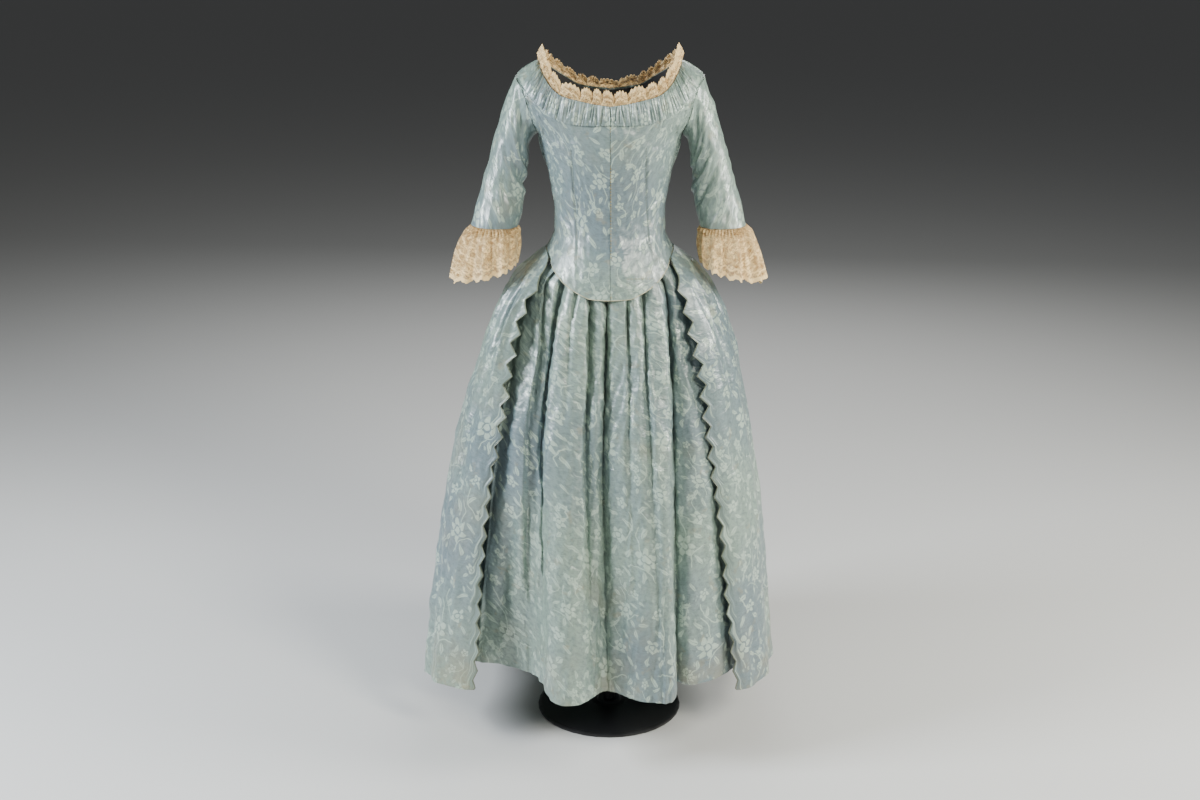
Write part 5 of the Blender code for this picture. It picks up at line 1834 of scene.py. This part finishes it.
JERSEY = PlainFinish(
    colour=(0.012, 0.012, 0.013), second=(0.028, 0.027, 0.026), cloud=(24.0, 4.0, 0.5),
    blend=(0.45, 0.80, 0.5), rough=(0.82, 0.82), sheen=0.3, relief=(0.35, 0.0003),
    grain=(1400.0, 1400.0, 420.0))
STEEL = PlainFinish(
    colour=(0.016, 0.016, 0.017), second=(0.034, 0.034, 0.036), cloud=(18.0, 5.0, 0.6),
    blend=(0.35, 0.75, 0.6), rough=(0.30, 0.46), metallic=0.25, relief=(0.15, 0.0002),
    grain=(900.0, 900.0, 900.0), grain_detail=2.0)


def thread(red: float, green: float, blue: float) -> PlainFinish:
    """Give the finish of a twisted thread or cord of one colour."""
    return PlainFinish(
        colour=(red, green, blue), second=(0.62 * red, 0.62 * green, 0.62 * blue), cloud=(90.0, 3.0, 0.5),
        blend=(0.3, 0.7, 1.0), rough=(0.7, 0.7), relief=(0.4, 0.0002), grain=(1500.0, 1500.0, 1500.0))


def joined_piece(parts: Sequence[Piece], name: str, angle: float) -> Piece:
    """Join parts into one piece.

    Args:
        parts: The parts.
        name: The piece's name.
        angle: Edges sharper than this stay sharp, in degrees.

    Returns:
        The piece.
    """
    deselect()
    for part in parts:
        part.select_set(True)
    bpy.context.view_layer.objects.active = parts[0]
    bpy.ops.object.join()
    piece = bpy.context.active_object
    piece.name = name
    bpy.ops.object.shade_smooth_by_angle(angle=radians(angle))
    return piece


def riding(piece: Piece, finish: Material) -> Piece:
    """Give a small sewn-on piece its finish and let it ride with the robe.

    Args:
        piece: The piece.
        finish: The material.

    Returns:
        The piece.
    """
    settle(piece)
    piece.data.materials.clear()
    piece.data.materials.append(finish)
    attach(piece, BODY)
    LOG.info("%s: %d faces", piece.name, len(piece.data.polygons))
    return piece


@dataclass
class StitchLine:
    """A row of single stitches along a line on the bodice.

    Attributes:
        name: The piece's name.
        line: Heights and places across, from the top down or across.
        finish: The thread.
        length: Length of a stitch.
        step: Distance from one stitch to the next.
        radius: Half the thread's thickness.
        out: How far the thread's middle lies above the bodice's plain form.
    """

    name: str
    line: Sequence[tuple[float, float]]
    finish: Material
    length: float = 0.0034
    step: float = 0.0062
    radius: float = 0.00060
    out: float = 0.0008
    sides: int = 6

    def places(self) -> list[tuple[Vector, Vector]]:
        """Give each stitch's middle and direction."""
        points = [Vector((x, TORSO.depth(x, z, "front") - self.out, z)) for x, z in self.line]
        runs = [0.0]
        for before, after in zip(points, points[1:]):
            runs.append(runs[-1] + (after - before).length)
        found = []
        for k in range(int(runs[-1] / self.step)):
            at = (k + 0.5) * self.step
            i = min(bisect.bisect_right(runs, at) - 1, len(points) - 2)
            way = points[i + 1] - points[i]
            middle = points[i] + way * ((at - runs[i]) / max(runs[i + 1] - runs[i], 1e-9))
            found.append((middle, way.normalized()))
        return found

    def build(self) -> Piece:
        """Make the stitches as one piece."""
        parts = []
        for middle, way in self.places():
            deselect()
            turn = Vector((0.0, 0.0, 1.0)).rotation_difference(way).to_euler()
            bpy.ops.mesh.primitive_cylinder_add(vertices=self.sides, radius=self.radius, depth=self.length,
                                                location=middle, rotation=turn)
            parts.append(bpy.context.active_object)
        return riding(joined_piece(parts, self.name, 60), self.finish)


@dataclass
class HemPiping(SidePart):
    """Fine piping along the lower edge of a bodice front.

    Attributes:
        radius: Half its thickness.
    """

    radius: float = 0.0010
    steps: int = 90

    def build(self) -> Piece:
        """Make the piping along the hem's line."""
        deselect()
        bpy.ops.curve.primitive_bezier_curve_add(location=(0.0, 0.0, 0.0))
        piece = bpy.context.active_object
        piece.name = "bodice_piping_" + self.side.word
        curve = piece.data
        curve.dimensions = "3D"
        curve.splines.clear()
        run = curve.splines.new("POLY")
        run.points.add(self.steps)
        for k in range(self.steps + 1):
            share = 0.004 + 0.990 * k / self.steps
            z = TORSO.hem.at("z", share)
            x = self.side.value * share * TORSO.sizes.at("half_width", z)
            run.points[k].co = (x, TORSO.depth(x, z, "front") + 0.2 * self.radius, z - 0.6 * self.radius, 1.0)
        curve.bevel_depth = self.radius
        curve.bevel_resolution = 2
        curve.use_fill_caps = True
        bpy.ops.object.convert(target="MESH")
        bpy.ops.object.shade_smooth()
        return riding(bpy.context.active_object, self.finish)


@dataclass
class CornerHook(SidePart):
    """A small black hook that holds a front corner of the robe to the bodice.

    Attributes:
        place: Where it is, for the wearer's left.
    """

    place: Triple = (0.1160, -0.0880, 0.9690)
    ring: float = 0.0030
    wire: float = 0.0006

    def build(self) -> Piece:
        """Make the hook: a ring and its bar."""
        x, y, z = self.place
        x *= self.side.value
        deselect()
        turn = (radians(80), 0.0, 0.3 * self.side.value)
        bpy.ops.mesh.primitive_torus_add(location=(x, y, z), rotation=turn, major_radius=self.ring,
                                         minor_radius=self.wire, major_segments=24, minor_segments=8)
        ring = bpy.context.active_object
        deselect()
        bpy.ops.mesh.primitive_cylinder_add(vertices=10, radius=self.wire, depth=3.2 * self.ring,
                                            location=(x, y, z + 1.9 * self.ring))
        bar = bpy.context.active_object
        piece = joined_piece((ring, bar), "corner_hook_" + self.side.word, SMOOTH_ANGLE)
        return riding(piece, self.finish)


@dataclass
class DressForm:
    """The limbless form, its pole and its base, which keep their solids and get their finishes."""

    nodes: dict[str, Piece]
    jersey: Material
    steel: Material

    def dress(self) -> None:
        """Give each solid of the form its finish."""
        for name, finish, slot in (("form_torso", self.jersey, "form_cover"),
                                   ("form_pole", self.steel, "stand"), ("form_base", self.steel, "stand")):
            piece = self.nodes[name]
            for held in piece.material_slots:
                held.material = finish
            LOG.info("%s dressed as %s", name, finish.name)


@dataclass
class Studio:
    """A pale plain floor, soft lights and the camera of the photograph.

    Attributes:
        eye: The camera's place.
        tilt: How far the camera looks up from straight down, in degrees.
        lens: Its focal length for a sensor 36 mm wide.
        lamps: Name, place, size, power and colour of each light, all turned to the robe.
    """

    eye: Triple = (-0.019, -3.0, 1.555)
    tilt: float = 73.6
    lens: float = 46.8
    target: Triple = (0.0, 0.0, 0.75)
    lamps: tuple[tuple[str, Triple, float, float, Triple], ...] = (
        ("key", (1.8, -2.4, 2.5), 0.9, 110.0, (1.0, 0.975, 0.86)),
        ("left", (-2.5, -0.7, 1.9), 1.0, 150.0, (0.88, 0.94, 1.0)),
        ("right", (2.7, -0.4, 1.7), 1.0, 100.0, (1.0, 1.0, 0.95)),
        ("front", (-0.9, -3.4, 1.8), 1.6, 12.0, (0.92, 0.96, 1.0)),
        ("back", (0.4, 3.2, 2.8), 2.0, 45.0, (1.0, 1.0, 1.0)),
    )

    def build(self) -> None:
        """Make the floor, the lights, the sky and the camera."""
        deselect()
        bpy.ops.mesh.primitive_plane_add(size=120.0, location=(0.0, 0.0, -0.0005))
        floor = bpy.context.active_object
        floor.name = "floor"
        paint = bpy.data.materials.new("Floor paint")
        paint.use_nodes = True
        shader = paint.node_tree.nodes["Principled BSDF"]
        shader.inputs["Base Color"].default_value = (0.62, 0.62, 0.61, 1.0)
        shader.inputs["Roughness"].default_value = 0.8
        floor.data.materials.append(paint)
        for name, place, size, power, colour in self.lamps:
            deselect()
            turn = (Vector(self.target) - Vector(place)).to_track_quat("-Z", "Y").to_euler()
            bpy.ops.object.light_add(type="AREA", location=place, rotation=turn)
            lamp = bpy.context.active_object
            lamp.name = name + "_light"
            lamp.data.size = size
            lamp.data.energy = power
            lamp.data.color = colour
        world = bpy.data.worlds.new("Studio")
        world.use_nodes = True
        sky = world.node_tree.nodes["Background"]
        sky.inputs["Color"].default_value = (0.80, 0.82, 0.84, 1.0)
        sky.inputs["Strength"].default_value = 0.08
        bpy.context.scene.world = world
        deselect()
        bpy.ops.object.camera_add(location=self.eye, rotation=(radians(self.tilt), 0.0, 0.0))
        camera = bpy.context.active_object
        camera.data.lens = self.lens
        camera.data.sensor_width = 36.0
        bpy.context.scene.camera = camera


def main() -> None:
    """Build every piece in order; the sewn-on pieces and the form's finishes are logged."""
    logging.basicConfig(level=logging.INFO, format="%(name)s %(message)s")
    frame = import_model()
    pattern = Pattern()
    silk = SilkDamask().make("Silk damask cloth", pattern)
    pinked = SilkDamask().make("Pinked silk damask", pattern, pinked=True)
    lace = Lace().make("Cream lace", pattern)
    steel = STEEL.make("Black painted steel")
    jersey = JERSEY.make("Black jersey")
    DressForm(frame["nodes"], jersey, steel).dress()
    FormCover(jersey).build()

    Waistband(silk).build()
    Petticoat(silk).build()
    for side in Side:
        BodiceFront(side, silk).build()
        SideBack(side, silk).build()
        NeckBand(side, silk).build()
        RobeSkirt(side, pinked).build()
        sleeve = Sleeve(side, silk)
        sleeve.build()
        SleeveRuffle(sleeve, lace).build()
    SackBack(silk).build()
    NeckLace(lace).build()

    ochre = thread(0.42, 0.33, 0.12).make("Ochre thread")
    dull = thread(0.20, 0.25, 0.22).make("Dull green thread")
    cream = thread(0.52, 0.50, 0.34).make("Cream cord")
    StitchLine("centre_front_stitches", ((0.0, 1.229), (0.0010, 1.15), (0.0014, 1.05), (0.0018, 0.912)),
               ochre).build()
    StitchLine("dart_stitches_right", ((-0.0735, 1.185), (-0.068, 1.12), (-0.0625, 1.05), (-0.0605, 0.995)),
               dull, step=0.0050).build()
    StitchLine("dart_stitches_left", ((0.0665, 1.190), (0.0670, 1.088), (0.0730, 1.009), (0.0830, 0.984)),
               dull, step=0.0050).build()
    StitchLine("mending_stitches", ((0.030, 0.9485), (0.050, 0.9480), (0.070, 0.9465), (0.088, 0.9450)),
               ochre, length=0.0042, step=0.0072, radius=0.00036).build()
    for side in Side:
        HemPiping(side, cream).build()
        CornerHook(side, steel).build()
    Studio().build()


if __name__ == "__main__":
    main()
